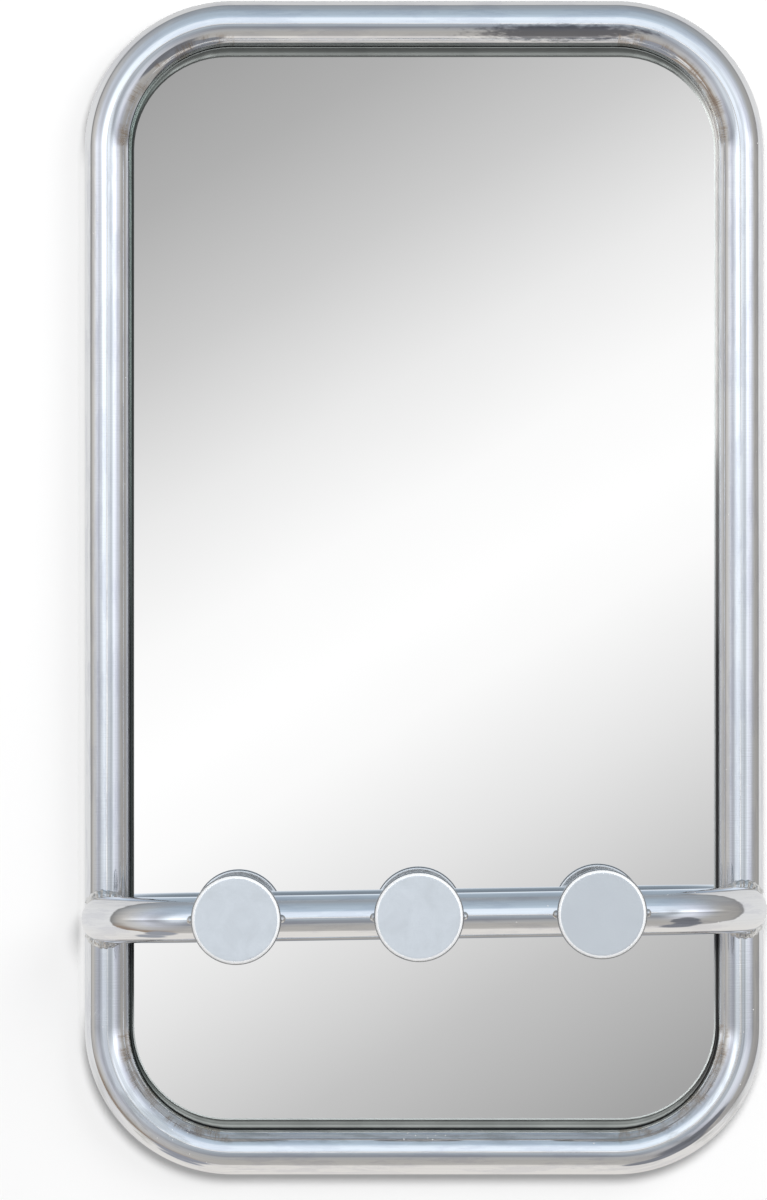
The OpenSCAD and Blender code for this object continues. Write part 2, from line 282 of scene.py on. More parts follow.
def times(tree, *values):
    return math_node(tree, "MULTIPLY", *values)


def plus(tree, *values):
    return math_node(tree, "ADD", *values)


def minus(tree, first, second):
    return math_node(tree, "SUBTRACT", first, second)


def vector_math(tree, operation, *values, **named):
    """Output of a Vector Math node fed with sockets or vectors."""
    node = add(tree, "ShaderNodeVectorMath", operation=operation, **named)
    for socket, value in zip(node.inputs, values):
        feed(tree, socket, value)
    return node.outputs["Value" if operation in ("LENGTH", "DOT_PRODUCT") else "Vector"]


def weighted_sum(tree, pairs):
    """Sum of colours, each times its share; a colour is a socket or three numbers."""
    parts = [vector_math(tree, "SCALE", value, Scale=share) for value, share in pairs]
    total = parts[0]
    for part in parts[1:]:
        total = vector_math(tree, "ADD", total, part)
    return total


def remap(tree, value, low, high, to_low=0.0, to_high=1.0, smooth=False):
    """Output of a Map Range node."""
    node = add(tree, "ShaderNodeMapRange", interpolation_type="SMOOTHSTEP" if smooth else "LINEAR", Value=value)
    for name, number in (("From Min", low), ("From Max", high), ("To Min", to_low), ("To Max", to_high)):
        node.inputs[name].default_value = number
    return node.outputs["Result"]


def between(tree, mask, low, high):
    """A value that goes from low to high as the mask goes from 0 to 1."""
    return remap(tree, mask, 0.0, 1.0, low, high)


def blend_colours(tree, mask, first, second):
    """Colour output that goes from the first colour to the second as the mask rises; both may be sockets."""
    node = add(tree, "ShaderNodeMix", data_type="RGBA", Factor=mask)
    for name, value in (("A", first), ("B", second)):
        feed(tree, next(s for s in node.inputs if s.name == name and s.type == "RGBA"), value)
    return next(s for s in node.outputs if s.type == "RGBA")


def layer_colours(tree, base, layers):
    """The base with colours laid over it in order, each where its mask is."""
    for mask, colour in layers:
        base = blend_colours(tree, mask, base, colour)
    return base


def scaled(tree, vector, x, y, z=1.0):
    """A vector output scaled along each axis."""
    return add(tree, "ShaderNodeMapping", Vector=vector, Scale=(x, y, z)).outputs["Vector"]


def axes(tree, vector):
    """Outputs for the x, y and z of a vector."""
    return add(tree, "ShaderNodeSeparateXYZ", Vector=vector).outputs


def ramp(tree, value, stops):
    """Colour output of a ramp; each stop is a place from 0 to 1 and a brightness or a colour."""
    node = add(tree, "ShaderNodeValToRGB", Fac=value)
    elements = node.color_ramp.elements
    for place, _ in stops[1:-1]:
        elements.new(place)
    for element, (place, colour) in zip(elements, stops):
        element.position = place
        element.color = (*colour, 1) if isinstance(colour, tuple) else (colour, colour, colour, 1)
    return node.outputs["Color"]


def noise_value(tree, vector, scale, detail=2.0, rough=0.5, **inputs):
    """Factor output of a noise texture; the scale may differ along each axis."""
    if isinstance(scale, tuple):
        vector, scale = scaled(tree, vector, *scale), 1.0
    node = add(tree, "ShaderNodeTexNoise", Vector=vector, Scale=scale, Detail=detail, Roughness=rough, **inputs)
    return node.outputs["Fac"]


def object_coordinates(tree):
    return add(tree, "ShaderNodeTexCoord").outputs["Object"]


def uv_coordinates(tree):
    return add(tree, "ShaderNodeUVMap").outputs["UV"]


def attribute(tree, name):
    """A value that the mesh carries on its vertices."""
    return add(tree, "ShaderNodeAttribute", attribute_name=name).outputs["Fac"]


def right_half(tree, x):
    """1 on the right half of the object and 0 on the left."""
    return remap(tree, x, -10 * MM, 10 * MM)


def along_straight(tree, z, fade):
    """1 along the straight part of the side tubes, fading to 0 past its ends."""
    from_middle = math_node(tree, "ABSOLUTE", minus(tree, z, FRAME_Z))
    return remap(tree, from_middle, STRAIGHT_HALF, STRAIGHT_HALF + fade, 1.0, 0.0)


def shaded(colour, share):
    """A colour at a share of its brightness."""
    return tuple(c * share for c in colour)


def shader(name, colour, metallic, roughness, **sockets):
    """A material with a Principled shader, and its tree; constants are set on the shader's own sockets."""
    material = bpy.data.materials.new(name)
    material.use_nodes = True
    tree = material.node_tree
    tree.nodes.clear()
    values = {"Base_Color": colour, "Metallic": metallic, "Roughness": roughness, **sockets}
    surface = add(tree, "ShaderNodeBsdfPrincipled", **values)
    add(tree, "ShaderNodeOutputMaterial", Surface=surface.outputs["BSDF"])
    return material, tree, surface


def feed_surface(tree, surface, colour, rough=None, metallic=None, height=None, depth=0.0):
    """Feeds a shader with the outputs that are given; a height from 0 to 1 stands for depth metres."""
    for name, value in (("Base Color", colour), ("Roughness", rough), ("Metallic", metallic)):
        if value is not None:
            tree.links.new(value, surface.inputs[name])
    if height is not None:
        bump = add(tree, "ShaderNodeBump", Strength=1.0, Distance=depth, Height=height)
        tree.links.new(bump.outputs["Normal"], surface.inputs["Normal"])


# ---- Effects that several materials share ----


def group(name, values, results):
    """A shader node group with a Vector input and named numbers in and out; its tree, inputs and outputs."""
    tree = bpy.data.node_groups.new(name, "ShaderNodeTree")
    tree.interface.new_socket("Vector", in_out="INPUT", socket_type="NodeSocketVector")
    for label, default in values.items():
        socket = tree.interface.new_socket(label, in_out="INPUT", socket_type="NodeSocketFloat")
        socket.default_value = default
    for label in results:
        tree.interface.new_socket(label, in_out="OUTPUT", socket_type="NodeSocketFloat")
    return tree, tree.nodes.new("NodeGroupInput").outputs, tree.nodes.new("NodeGroupOutput").inputs


def use_group(tree, name, vector, **values):
    """Outputs of a group that is placed in a material and fed with a vector."""
    return add(tree, "ShaderNodeGroup", node_tree=bpy.data.node_groups[name], Vector=vector, **values).outputs


def make_polish_group():
    """Marks of drawing and polishing, along x: fine streaks, longer die lines and slow waves, in millimetres."""
    depths = {"Streak Depth": 0.006, "Line Depth": 0.13, "Wave Depth": 0.35}
    tree, given, result = group("polish_marks", depths, ("Height", "Streaks"))
    place = given["Vector"]
    streaks = noise_value(tree, place, (14.0, 1300.0, 1300.0), 3.0, 0.6)
    lines = noise_value(tree, place, (1.6, 330.0, 330.0), 1.5)
    waves = noise_value(tree, place, (8.0, 30.0, 30.0), 1.0, 0.4)
    parts = [times(tree, mark, given[depth]) for mark, depth in zip((streaks, lines, waves), depths)]
    tree.links.new(plus(tree, *parts), result["Height"])
    tree.links.new(remap(tree, streaks, 0.36, 0.66), result["Streaks"])


def make_scuff_group():
    """Patches of fine crossed scratches; Amount is the share of the surface that they cover."""
    tree, given, result = group("scuffs", {"Amount": 0.3, "Size": 1.0}, ("Mask", "Height"))
    place = vector_math(tree, "SCALE", given["Vector"], Scale=given["Size"])
    patches = noise_value(tree, place, 26.0, 3.0, 0.6)
    edge = minus(tree, 0.78, times(tree, given["Amount"], 0.4))
    cover = math_node(tree, "MULTIPLY", minus(tree, patches, edge), 9.0, clamp=True)
    lines = []
    for turn, thin in ((0.35, 2300.0), (-0.6, 1900.0), (1.25, 1500.0)):
        spun = add(tree, "ShaderNodeMapping", Vector=place, Rotation=(0, 0, turn)).outputs["Vector"]
        lines.append(remap(tree, noise_value(tree, spun, (110.0, thin, thin), 1.0), 0.62, 0.72))
    mask = times(tree, cover, math_node(tree, "MAXIMUM", *lines))
    tree.links.new(mask, result["Mask"])
    tree.links.new(minus(tree, 1.0, mask), result["Height"])


def make_dust_group():
    """Fine specks of dust that lie in drifts; Density is the share of a drift's cells that hold a speck."""
    tree, given, result = group("dust_specks", {"Scale": 520.0, "Density": 0.2}, ("Mask",))
    place = given["Vector"]
    cells = add(tree, "ShaderNodeTexVoronoi", feature="F1", Vector=place, Scale=given["Scale"]).outputs
    chance = add(tree, "ShaderNodeSeparateColor", Color=cells["Color"]).outputs
    drift = remap(tree, noise_value(tree, place, 22.0, 3.0, 0.6), 0.54, 0.70)
    chosen = math_node(tree, "LESS_THAN", chance["Red"], times(tree, drift, given["Density"]))
    inside = math_node(tree, "LESS_THAN", cells["Distance"], between(tree, chance["Green"], 0.05, 0.14))
    tree.links.new(times(tree, chosen, inside), result["Mask"])


def make_mottle_group():
    """Slow and fine unevenness, for colour and roughness."""
    tree, given, result = group("mottle", {"Slow": 30.0, "Fine": 900.0}, ("Slow", "Fine"))
    for label, detail in (("Slow", 3.0), ("Fine", 4.0)):
        uneven = noise_value(tree, given["Vector"], given[label], detail, 0.6)
        tree.links.new(remap(tree, uneven, 0.3, 0.7), result[label])


def make_effects():
    """Makes the shared groups, once."""
    if "mottle" not in bpy.data.node_groups:
        for make in (make_polish_group, make_scuff_group, make_dust_group, make_mottle_group):
            make()


# ---- Materials ----

# Colours of the marks on the tube, among them a dark patch on the top tube
MILKY = (0.71, 0.72, 0.78)
GRIME = (0.50, 0.51, 0.49)
DARK_PATCH_TINT = (0.20, 0.205, 0.235)
TAN = (0.58, 0.50, 0.43)
DUST = (0.86, 0.85, 0.83)
# Middle of the dark patch on the front of the top tube
DARK_PATCH_MIDDLE = (77 * MM, 0, FRAME_HIGH.z - 18 * MM)


def water_ledge(tree, z):
    """1 on the inner face of the bottom tube, where water stands and dust lies, 0 elsewhere."""
    rise = remap(tree, z, FRAME_BOTTOM + 16 * MM, FRAME_BOTTOM + 19 * MM)
    return times(tree, rise, remap(tree, z, FRAME_BOTTOM + 40 * MM, FRAME_BOTTOM + 70 * MM, 1.0, 0.0))


def bender_marks(tree, place, crossed):
    """Patches that the bender rubbed on the inside of the bends, broken up by fine marks across the tube."""
    patches = remap(tree, noise_value(tree, place, 70.0, 3.0, 0.6), 0.46, 0.58)
    inside = remap(tree, attribute(tree, "inside"), 0.30, 0.62, smooth=True)
    return times(tree, inside, times(tree, patches, remap(tree, crossed, 0.4, 0.6, 0.3, 1.0)))


def dark_patch(tree, place):
    """A dark patch with ragged ends on the front of the top tube, right of the middle."""
    offset = vector_math(tree, "SUBTRACT", object_coordinates(tree), DARK_PATCH_MIDDLE)
    away = vector_math(tree, "LENGTH", scaled(tree, offset, 19.0, 0.0, 200.0))
    ragged = remap(tree, noise_value(tree, place, (130.0, 420.0), 3.0, 0.6), 0.3, 0.7, -0.3, 0.3)
    return remap(tree, plus(tree, away, ragged), 0.55, 1.15, 0.88, 0.0, smooth=True)


def smears(tree, place, scale, edge, most):
    """Patches drawn out along the tube."""
    return remap(tree, noise_value(tree, place, scale, 4.0, 0.65), 0.48, edge, 0.0, most)


def sealant_haze(tree, x, y, z):
    """1 on the side tubes close beside the glass, where sealant was wiped off, 0 elsewhere."""
    edge = FRAME_HIGH.x - settings()[0].tube_diameter
    beside = remap(tree, math_node(tree, "ABSOLUTE", x), edge + 0.9 * MM, edge + 1.9 * MM, 1.0, 0.0)
    return times(tree, beside, along_straight(tree, z, 15 * MM), remap(tree, y, -30 * MM, -28 * MM))


def polished_tube_material(colours):
    """Polished aluminium: streaks along the tube, scuffs, dust, a dull back, and the marks of bending and use."""
    material, tree, surface = shader("tube_finish", colours.tube, 1.0, 0.04)
    place = uv_coordinates(tree)
    x, y, z = axes(tree, object_coordinates(tree))
    marks = use_group(tree, "polish_marks", place)
    scuffs = use_group(tree, "scuffs", place, Amount=0.36)
    ledge = water_ledge(tree, z)
    dust = use_group(tree, "dust_specks", place, Scale=400.0, Density=between(tree, ledge, 0.35, 1.6))["Mask"]
    dull = remap(tree, attribute(tree, "back"), 0.03, 0.3, smooth=True)
    crossed = noise_value(tree, place, (1700.0, 90.0))
    bent = bender_marks(tree, place, crossed)
    grime = times(tree, smears(tree, place, (30.0, 160.0), 0.6, 0.5), ledge)
    milky = smears(tree, place, (26.0, 150.0), 0.58, 0.42)
    haze = sealant_haze(tree, x, y, z)
    base = blend_colours(tree, marks["Streaks"], shaded(colours.tube, 0.95), colours.tube)
    layers = ((milky, MILKY), (grime, GRIME), (dark_patch(tree, place), DARK_PATCH_TINT), (bent, TAN))
    base = layer_colours(tree, base, (*layers, (dull, shaded(colours.tube, 0.6)), (dust, DUST)))
    rough = between(tree, marks["Streaks"], 0.06, 0.03)
    roughened = ((scuffs["Mask"], 0.22), (dust, 0.5), (bent, 0.2), (dull, 0.1), (haze, 0.3), (grime, 0.2))
    roughened = [times(tree, mask, amount) for mask, amount in (*roughened, (milky, 0.12))]
    rough = plus(tree, rough, *roughened)
    height = plus(tree, marks["Height"], times(tree, scuffs["Height"], 0.003), times(tree, crossed, 0.004))
    feed_surface(tree, surface, base, rough, minus(tree, 1.0, dust), height, 1 * MM)
    return material


def satin_peg_material(colours):
    """Turned aluminium of the pegs: satin face, painted highlight on the rim, bright back, painted shade on the side.
    """
    material, tree, surface = shader("peg_finish", colours.peg, 1.0, 0.34)
    profile = axes(tree, uv_coordinates(tree))["X"]
    band = PEG_RADIUS - settings()[0].peg_rim - PEG_BAND
    rear = PEG_RADIUS + PEG_DEPTH
    rim = remap(tree, profile, band + 0.8 * MM, band + 1.2 * MM, smooth=True)
    side = remap(tree, profile, PEG_RADIUS - 0.1 * MM, PEG_RADIUS + 0.3 * MM, smooth=True)
    back = remap(tree, profile, rear - 0.2 * MM, rear + 0.3 * MM, smooth=True)
    place = object_coordinates(tree)
    cloud = remap(tree, noise_value(tree, place, 70.0, 4.0, 0.6, Distortion=0.5), 0.34, 0.66)
    grain = use_group(tree, "mottle", place, Slow=75.0, Fine=1600.0)["Fine"]
    scuffs = use_group(tree, "scuffs", place, Amount=0.42, Size=1.6)
    # The disc on the right is darker
    right_darker = remap(tree, axes(tree, place)["X"], 30 * MM, 70 * MM)
    bright = (0.96, 0.97, 0.98)
    base = blend_colours(tree, cloud, shaded(colours.peg, 0.9), colours.peg)
    # Painted highlight on the rim and painted shade on the narrow side
    layers = ((right_darker, shaded(colours.peg, 0.85)), (rim, bright), (side, shaded(colours.peg, 0.4)), (back, bright))
    base = layer_colours(tree, base, layers)
    rough = minus(tree, between(tree, cloud, 0.30, 0.42), times(tree, scuffs["Mask"], 0.08))
    rough = times(tree, rough, between(tree, rim, 1.0, 0.8), between(tree, back, 1.0, 0.52))
    # A painted highlight whitens the rim
    metallic = between(tree, times(tree, rim, minus(tree, 1.0, side)), 1.0, 0.25)
    height = plus(tree, times(tree, grain, 0.3), times(tree, scuffs["Height"], 0.5))
    height = times(tree, height, between(tree, rim, 1.0, 0.1))
    feed_surface(tree, surface, base, rough, metallic, height, 12 * MICRON)
    return material


def mottled_material(name, first, second, metallic, roughness, slow, fine, bump=None, **sockets):
    """A material that wanders slowly between two colours. The roughness is a number, or two between which it wanders
    finely; bump is an output of the mottle group and the depth of its bumps.
    """
    varies = isinstance(roughness, tuple)
    material, tree, surface = shader(name, second, metallic, roughness[0] if varies else roughness, **sockets)
    mottle = use_group(tree, "mottle", object_coordinates(tree), Slow=slow, Fine=fine)
    base = blend_colours(tree, mottle["Slow"], first, second)
    rough = between(tree, mottle["Fine"], *roughness) if varies else None
    height, depth = (mottle[bump[0]], bump[1]) if bump else (None, 0.0)
    feed_surface(tree, surface, base, rough, None, height, depth)
    return material


def weld_material(colours):
    """A bare weld bead: bright metal with a grey film in its hollows."""
    film = shaded(colours.weld, 0.62)
    bump = ("Slow", 60 * MICRON)
    return mottled_material("weld_finish", film, colours.weld, 1.0, (0.06, 0.2), 330.0, 1500.0, bump)


def mirror_material(colours):
    """Silvered glass, as it shows from the front: a mirror with the faintest unevenness in its silvering."""
    return mottled_material("mirror_finish", shaded(colours.mirror, 0.99), colours.mirror, 1.0, 0.0, 9.0, 500.0)


# Painted light on the glass's edge at each side: its brightness from its bottom to its top
LEFT_ARRIS_PAINTED_LIGHT = ((0.0, 1.0), (0.06, 1.0), (0.12, 0.12), (0.5, 0.12), (0.7, 0.07), (0.985, 0.08), (1.0, 0.12))
RIGHT_ARRIS_PAINTED_LIGHT = (
    (0.0, 1.0), (0.06, 1.0), (0.12, 0.5), (0.45, 0.6),
    (0.65, 1.0), (0.95, 1.0), (0.985, 0.12), (1.0, 0.12),
)


def glass_edge_material(colours):
    """Ground edge of the silvered glass with painted light: bright below and high on the right, where light that
    enters above and on the left would leave.
    """
    material, tree, surface = shader("arris_finish", colours.glass_edge, 0.0, 0.3)
    place = object_coordinates(tree)
    x, _, z = axes(tree, place)
    low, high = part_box("mirror_glass")
    level = remap(tree, z, low.z, high.z)
    # Painted light: the edge is brighter below and high on the right
    painted_glow = blend_colours(tree, right_half(tree, x), ramp(tree, level, LEFT_ARRIS_PAINTED_LIGHT), ramp(tree, level, RIGHT_ARRIS_PAINTED_LIGHT))
    mottle = use_group(tree, "mottle", place, Slow=60.0, Fine=1400.0)
    base = blend_colours(tree, mottle["Slow"], shaded(colours.glass_edge, 0.9), colours.glass_edge)
    base = vector_math(tree, "MULTIPLY", base, painted_glow)
    feed_surface(tree, surface, base, between(tree, mottle["Fine"], 0.2, 0.4))
    return material


# Brightness across the wide seal above and below the glass, from the tube to the glass: a painted shadow next to the
# tube, painted highlights, and more painted light on the lower strip
UPPER_PAINTED_BANDS = (
    (0.0, 0.01), (0.07, 0.02), (0.13, 0.28), (0.24, 0.13), (0.45, 0.14),
    (0.62, 0.2), (0.78, 0.44), (0.94, 0.44), (1.0, 0.35),
)
LOWER_PAINTED_BANDS = (
    (0.0, 0.035), (0.14, 0.05), (0.25, 0.3), (0.35, 0.46), (0.45, 0.32),
    (0.54, 0.22), (0.67, 0.3), (0.78, 0.26), (0.87, 0.1), (1.0, 0.14),
)
# Painted light on the narrow seal at each side of the glass: its brightness from its bottom to its top, lighter high
# up
LEFT_SEAL = ((0.0, 0.035), (0.45, 0.035), (0.8, 0.07), (1.0, 0.07))
RIGHT_SEAL = (
    (0.0, 0.035), (0.44, 0.04), (0.486, 0.13), (0.57, 0.2),
    (0.61, 0.31), (0.645, 0.7), (0.8, 0.85), (1.0, 0.7),
)
# Colour of the painted light high on the left beside the tube, and the tints of the narrow seal
SEAL_PAINTED_LIGHT = (0.48, 0.48, 0.48)
SEAL_LEFT_TINT = (0.88, 1.06, 1.0)
SEAL_RIGHT_TINT = (1.02, 1.0, 0.97)


def seal_material(colours):
    """Dark sealing strip with painted light: painted shade and highlights in bands where it is wide, and lighter high
    up at its narrow sides.
    """
    material, tree, surface = shader("seal_finish", shaded(colours.seal, 0.07), 0.0, 0.38)
    place = object_coordinates(tree)
    mottle = use_group(tree, "mottle", place, Slow=40.0, Fine=1300.0)
    x, _, z = axes(tree, place)
    low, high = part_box("edge_seal")
    level = remap(tree, z, low.z, high.z)
    across = attribute(tree, "across")
    wide = remap(tree, attribute(tree, "wide"), 0.3, 0.75, smooth=True)
    on_right = right_half(tree, x)
    # High on the left, painted light lies along the tube
    left_painted_light = times(tree, remap(tree, across, 0.25, 0.65, 1.0, 0.0), remap(tree, level, 0.45, 0.75))
    left = blend_colours(tree, left_painted_light, ramp(tree, level, LEFT_SEAL), SEAL_PAINTED_LIGHT)
    narrow = blend_colours(tree, on_right, left, ramp(tree, level, RIGHT_SEAL))
    # Painted shade and highlights in bands across the wide seal, lighter on the lower strip
    bands = [ramp(tree, across, stops) for stops in (LOWER_PAINTED_BANDS, UPPER_PAINTED_BANDS)]
    bands = blend_colours(tree, wide, narrow, blend_colours(tree, remap(tree, level, 0.3, 0.5), *bands))
    tint = blend_colours(tree, wide, blend_colours(tree, on_right, SEAL_LEFT_TINT, SEAL_RIGHT_TINT), colours.seal)
    tint = vector_math(tree, "SCALE", tint, Scale=between(tree, mottle["Slow"], 1.0, 0.8))
    base = vector_math(tree, "MULTIPLY", bands, tint)
    feed_surface(tree, surface, base, between(tree, mottle["Fine"], 0.30, 0.48), None, mottle["Fine"], 15 * MICRON)
    return material


def lacquer_material(colours):
    """Grey-green lacquer behind the silvering, with the sag of a poured coat."""
    values = (0.0, 0.3, 25.0, 700.0, ("Fine", 10 * MICRON))
    return mottled_material("lacquer_finish", shaded(colours.coat, 0.8), colours.coat, *values, Coat_Weight=0.3)


def foam_material(colours):
    """White closed-cell foam tape: fine open cells on its cut sides, with painted shade in their hollows."""
    material, tree, surface = shader("foam_finish", colours.foam, 0.0, 0.9, Sheen_Weight=0.2)
    cells = add(tree, "ShaderNodeTexVoronoi", Vector=object_coordinates(tree), Scale=1600.0)
    depth = remap(tree, cells.outputs["Distance"], 0.1, 0.6)
    # Painted shade in the hollows of the cells
    base = blend_colours(tree, depth, shaded(colours.foam, 0.75), colours.foam)
    feed_surface(tree, surface, base, None, None, depth, 80 * MICRON)
    return material


def board_material(colours):
    """Pressed hardboard: mashed fibres, darker flecks and the screen pattern of the press on its back."""
    material, tree, surface = shader("board_finish", colours.board, 0.0, 0.72)
    place = object_coordinates(tree)
    mottle = use_group(tree, "mottle", place, Slow=18.0, Fine=420.0)
    fibres = noise_value(tree, place, (900.0, 900.0, 260.0), 5.0, 0.7)
    light = tuple(min(1.0, c) for c in shaded(colours.board, 1.28))
    base = blend_colours(tree, remap(tree, fibres, 0.36, 0.64), shaded(colours.board, 0.62), light)
    base = blend_colours(tree, between(tree, mottle["Slow"], 0.0, 0.35), base, colours.board)
    x, _, z = axes(tree, place)
    waves = [math_node(tree, "SINE", times(tree, axis, 2 * math.pi / SCREEN_PITCH)) for axis in (x, z)]
    screen = remap(tree, times(tree, *waves), -1.0, 1.0)
    height = plus(tree, times(tree, screen, 0.6), times(tree, fibres, 0.5))
    feed_surface(tree, surface, base, between(tree, mottle["Fine"], 0.62, 0.8), None, height, 130 * MICRON)
    return material


def mill_material(colours):
    """Rolled sheet in its mill finish: straight rolling lines, scratches and dull patches."""
    material, tree, surface = shader("sheet_finish", colours.mill, 1.0, 0.36)
    place = object_coordinates(tree)
    streaks = use_group(tree, "polish_marks", place)["Streaks"]
    scuffs = use_group(tree, "scuffs", place, Amount=0.7, Size=1.4)
    mottle = use_group(tree, "mottle", place, Slow=110.0, Fine=1500.0)
    base = blend_colours(tree, mottle["Slow"], shaded(colours.mill, 0.78), colours.mill)
    rough = plus(tree, between(tree, streaks, 0.28, 0.46), times(tree, scuffs["Mask"], 0.15))
    feed_surface(tree, surface, base, rough, None, streaks, 6 * MICRON)
    return material


def screw_material(colours):
    """Zinc plate with its faint straw bloom."""
    red, green, blue = colours.screw
    straw = (red, green * 0.94, blue * 0.78)
    return mottled_material("zinc_finish", colours.screw, straw, 1.0, (0.22, 0.4), 420.0, 2600.0)


def rubber_material(colours):
    """Matt black rubber with a fine moulded grain and a grey bloom."""
    values = (0.0, (0.58, 0.82), 260.0, 2400.0, ("Fine", 40 * MICRON))
    return mottled_material("rubber_finish", colours.rubber, shaded(colours.rubber, 2.2), *values)


MATERIALS = {
    "tube_finish": polished_tube_material,
    "peg_finish": satin_peg_material,
    "weld_finish": weld_material,
    "mirror_finish": mirror_material,
    "arris_finish": glass_edge_material,
    "seal_finish": seal_material,
    "lacquer_finish": lacquer_material,
    "foam_finish": foam_material,
    "board_finish": board_material,
    "sheet_finish": mill_material,
    "zinc_finish": screw_material,
    "rubber_finish": rubber_material,
}


def finish_named(name):
    """A material by name, made the first time that it is asked for."""
    make_effects()
    return bpy.data.materials.get(name) or MATERIALS[name](settings()[1])


def dress(node, name):
    """Gives a CAD node a material in place of its plain one."""
    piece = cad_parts[node]
    piece.data.materials.clear()
    piece.data.materials.append(finish_named(name))


# ---- Mesh helpers ----


def make_piece(bm, name, finishes, slot, *nodes, sharp=SHARP):
    """Turns a bmesh into a piece that stands for CAD nodes: smooth faces, with the sharp edges kept sharp."""
    mesh = bpy.data.meshes.new(name)
    bm.to_mesh(mesh)
    bm.free()
    mesh.shade_smooth()
    mesh.set_sharp_from_angle(angle=sharp)
    piece = bpy.data.objects.new(name, mesh)
    bpy.context.scene.collection.objects.link(piece)
    for finish in finishes:
        mesh.materials.append(finish_named(finish))
    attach(piece, "root")
    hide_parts(*nodes)
    return piece


def node_bmesh(node):
    """A bmesh of a CAD node with its loose triangles joined."""
    bm = bmesh.new()
    bm.from_mesh(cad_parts[node].data)
    bmesh.ops.remove_doubles(bm, verts=bm.verts, dist=2 * MICRON)
    return bm


def flat_bmesh(node):
    """A bmesh of a CAD node in which each flat side is one face."""
    bm = node_bmesh(node)
    bmesh.ops.dissolve_limit(bm, angle_limit=math.radians(1), verts=bm.verts, edges=bm.edges)
    return bm


def bevel_round(bm, edges, offset, segments, clamp=False):
    """Rounds edges over an offset."""
    bmesh.ops.bevel(
        bm,
        geom=edges,
        offset=offset,
        offset_type="OFFSET",
        segments=segments,
        profile=0.5,
        affect="EDGES",
        clamp_overlap=clamp,
        material=-1,
    )


class TubeBuilder:
    """Lays a tube with a bore along straight runs and bends, ring by ring."""

    def __init__(self, sizes, start, heading):
        self.bm = bmesh.new()
        self.along = self.bm.verts.layers.float.new("along")
        self.around = self.bm.verts.layers.float.new("around")
        self.back = self.bm.verts.layers.float.new("back")
        self.inside = self.bm.verts.layers.float.new("inside")
        self.outer = sizes.tube_diameter / 2
        self.length = 0.0
        outer = self.outer
        place = Matrix.Translation(start) @ heading.to_track_quat("Z", "Y").to_matrix().to_4x4()
        self.rims = []
        for radius in (outer, outer - sizes.tube_wall):
            ring = bmesh.ops.create_circle(self.bm, segments=sizes.tube_sides, radius=radius)["verts"]
            for vert in ring:
                vert[self.around] = math.atan2(vert.co.y, vert.co.x) * outer
            bmesh.ops.transform(self.bm, matrix=place, verts=ring)
            self.mark_back(ring)
            self.rims.append(self.edges_of(ring))
        self.first_rims = [list(rim) for rim in self.rims]

    def edges_of(self, verts):
        """The edges that join a ring's own vertices."""
        ring = set(verts)
        edges = {edge for vert in verts for edge in vert.link_edges}
        return [edge for edge in edges if edge.verts[0] in ring and edge.verts[1] in ring]

    def mark_back(self, ring):
        """Notes how far each vertex of a ring faces the wall, from -1 at the front to 1 at the back."""
        middle = sum(vert.co.y for vert in ring) / len(ring)
        for vert in ring:
            vert[self.back] = (vert.co.y - middle) / self.outer

    def step(self, length, move):
        """Extrudes both rims by one ring, which move then shifts or turns."""
        self.length += length
        for number, rim in enumerate(self.rims):
            made = bmesh.ops.extrude_edge_only(self.bm, edges=rim)["geom"]
            verts = [part for part in made if isinstance(part, bmesh.types.BMVert)]
            for vert in verts:
                vert[self.along] = self.length
            move(verts)
            self.mark_back(verts)
            self.rims[number] = self.edges_of(verts)

    def run(self, offset):
        """A straight run, with a ring close to each end so that the marks of a bend end there."""
        offset = Vector(offset)
        fade = 3 * MM / offset.length
        for share in (fade, 1 - 2 * fade, fade):

            def shift_ring(verts):
                bmesh.ops.translate(self.bm, verts=verts, vec=offset * share)
                for vert in verts:
                    vert[self.inside] = 0

            self.step(offset.length * share, shift_ring)

    def bend(self, centre, axis, angle, radius, steps):
        """A bend round a centre."""
        turn = Matrix.Rotation(angle / steps, 3, axis)
        upright = Vector((0, 1, 0)) if axis == "Y" else Vector((0, 0, 1))

        def turn_ring(verts):
            bmesh.ops.rotate(self.bm, verts=verts, cent=centre, matrix=turn)
            for vert in verts:
                arm = vert.co - Vector(centre)
                arm -= upright * arm.dot(upright)
                vert[self.inside] = (radius - arm.length) / self.outer

        for _ in range(steps):
            self.step(radius * abs(angle) / steps, turn_ring)

    def close(self):
        """Joins the outer wall to the bore at both ends, and lays the UV map along and round the tube."""
        for rims in (self.first_rims, self.rims):
            bmesh.ops.bridge_loops(self.bm, edges=rims[0] + rims[1])
        bmesh.ops.recalc_face_normals(self.bm, faces=self.bm.faces)
        uv = self.bm.loops.layers.uv.new("UVMap")
        girth = max(vert[self.around] for vert in self.bm.verts) * 2
        for face in self.bm.faces:
            turns = [loop.vert[self.around] for loop in face.loops]
            wraps = max(turns) - min(turns) > girth / 2
            for loop in face.loops:
                around = loop.vert[self.around]
                loop[uv].uv = (loop.vert[self.along], around + girth if wraps and around < 0 else around)
        return self.bm


# ---- Pieces ----


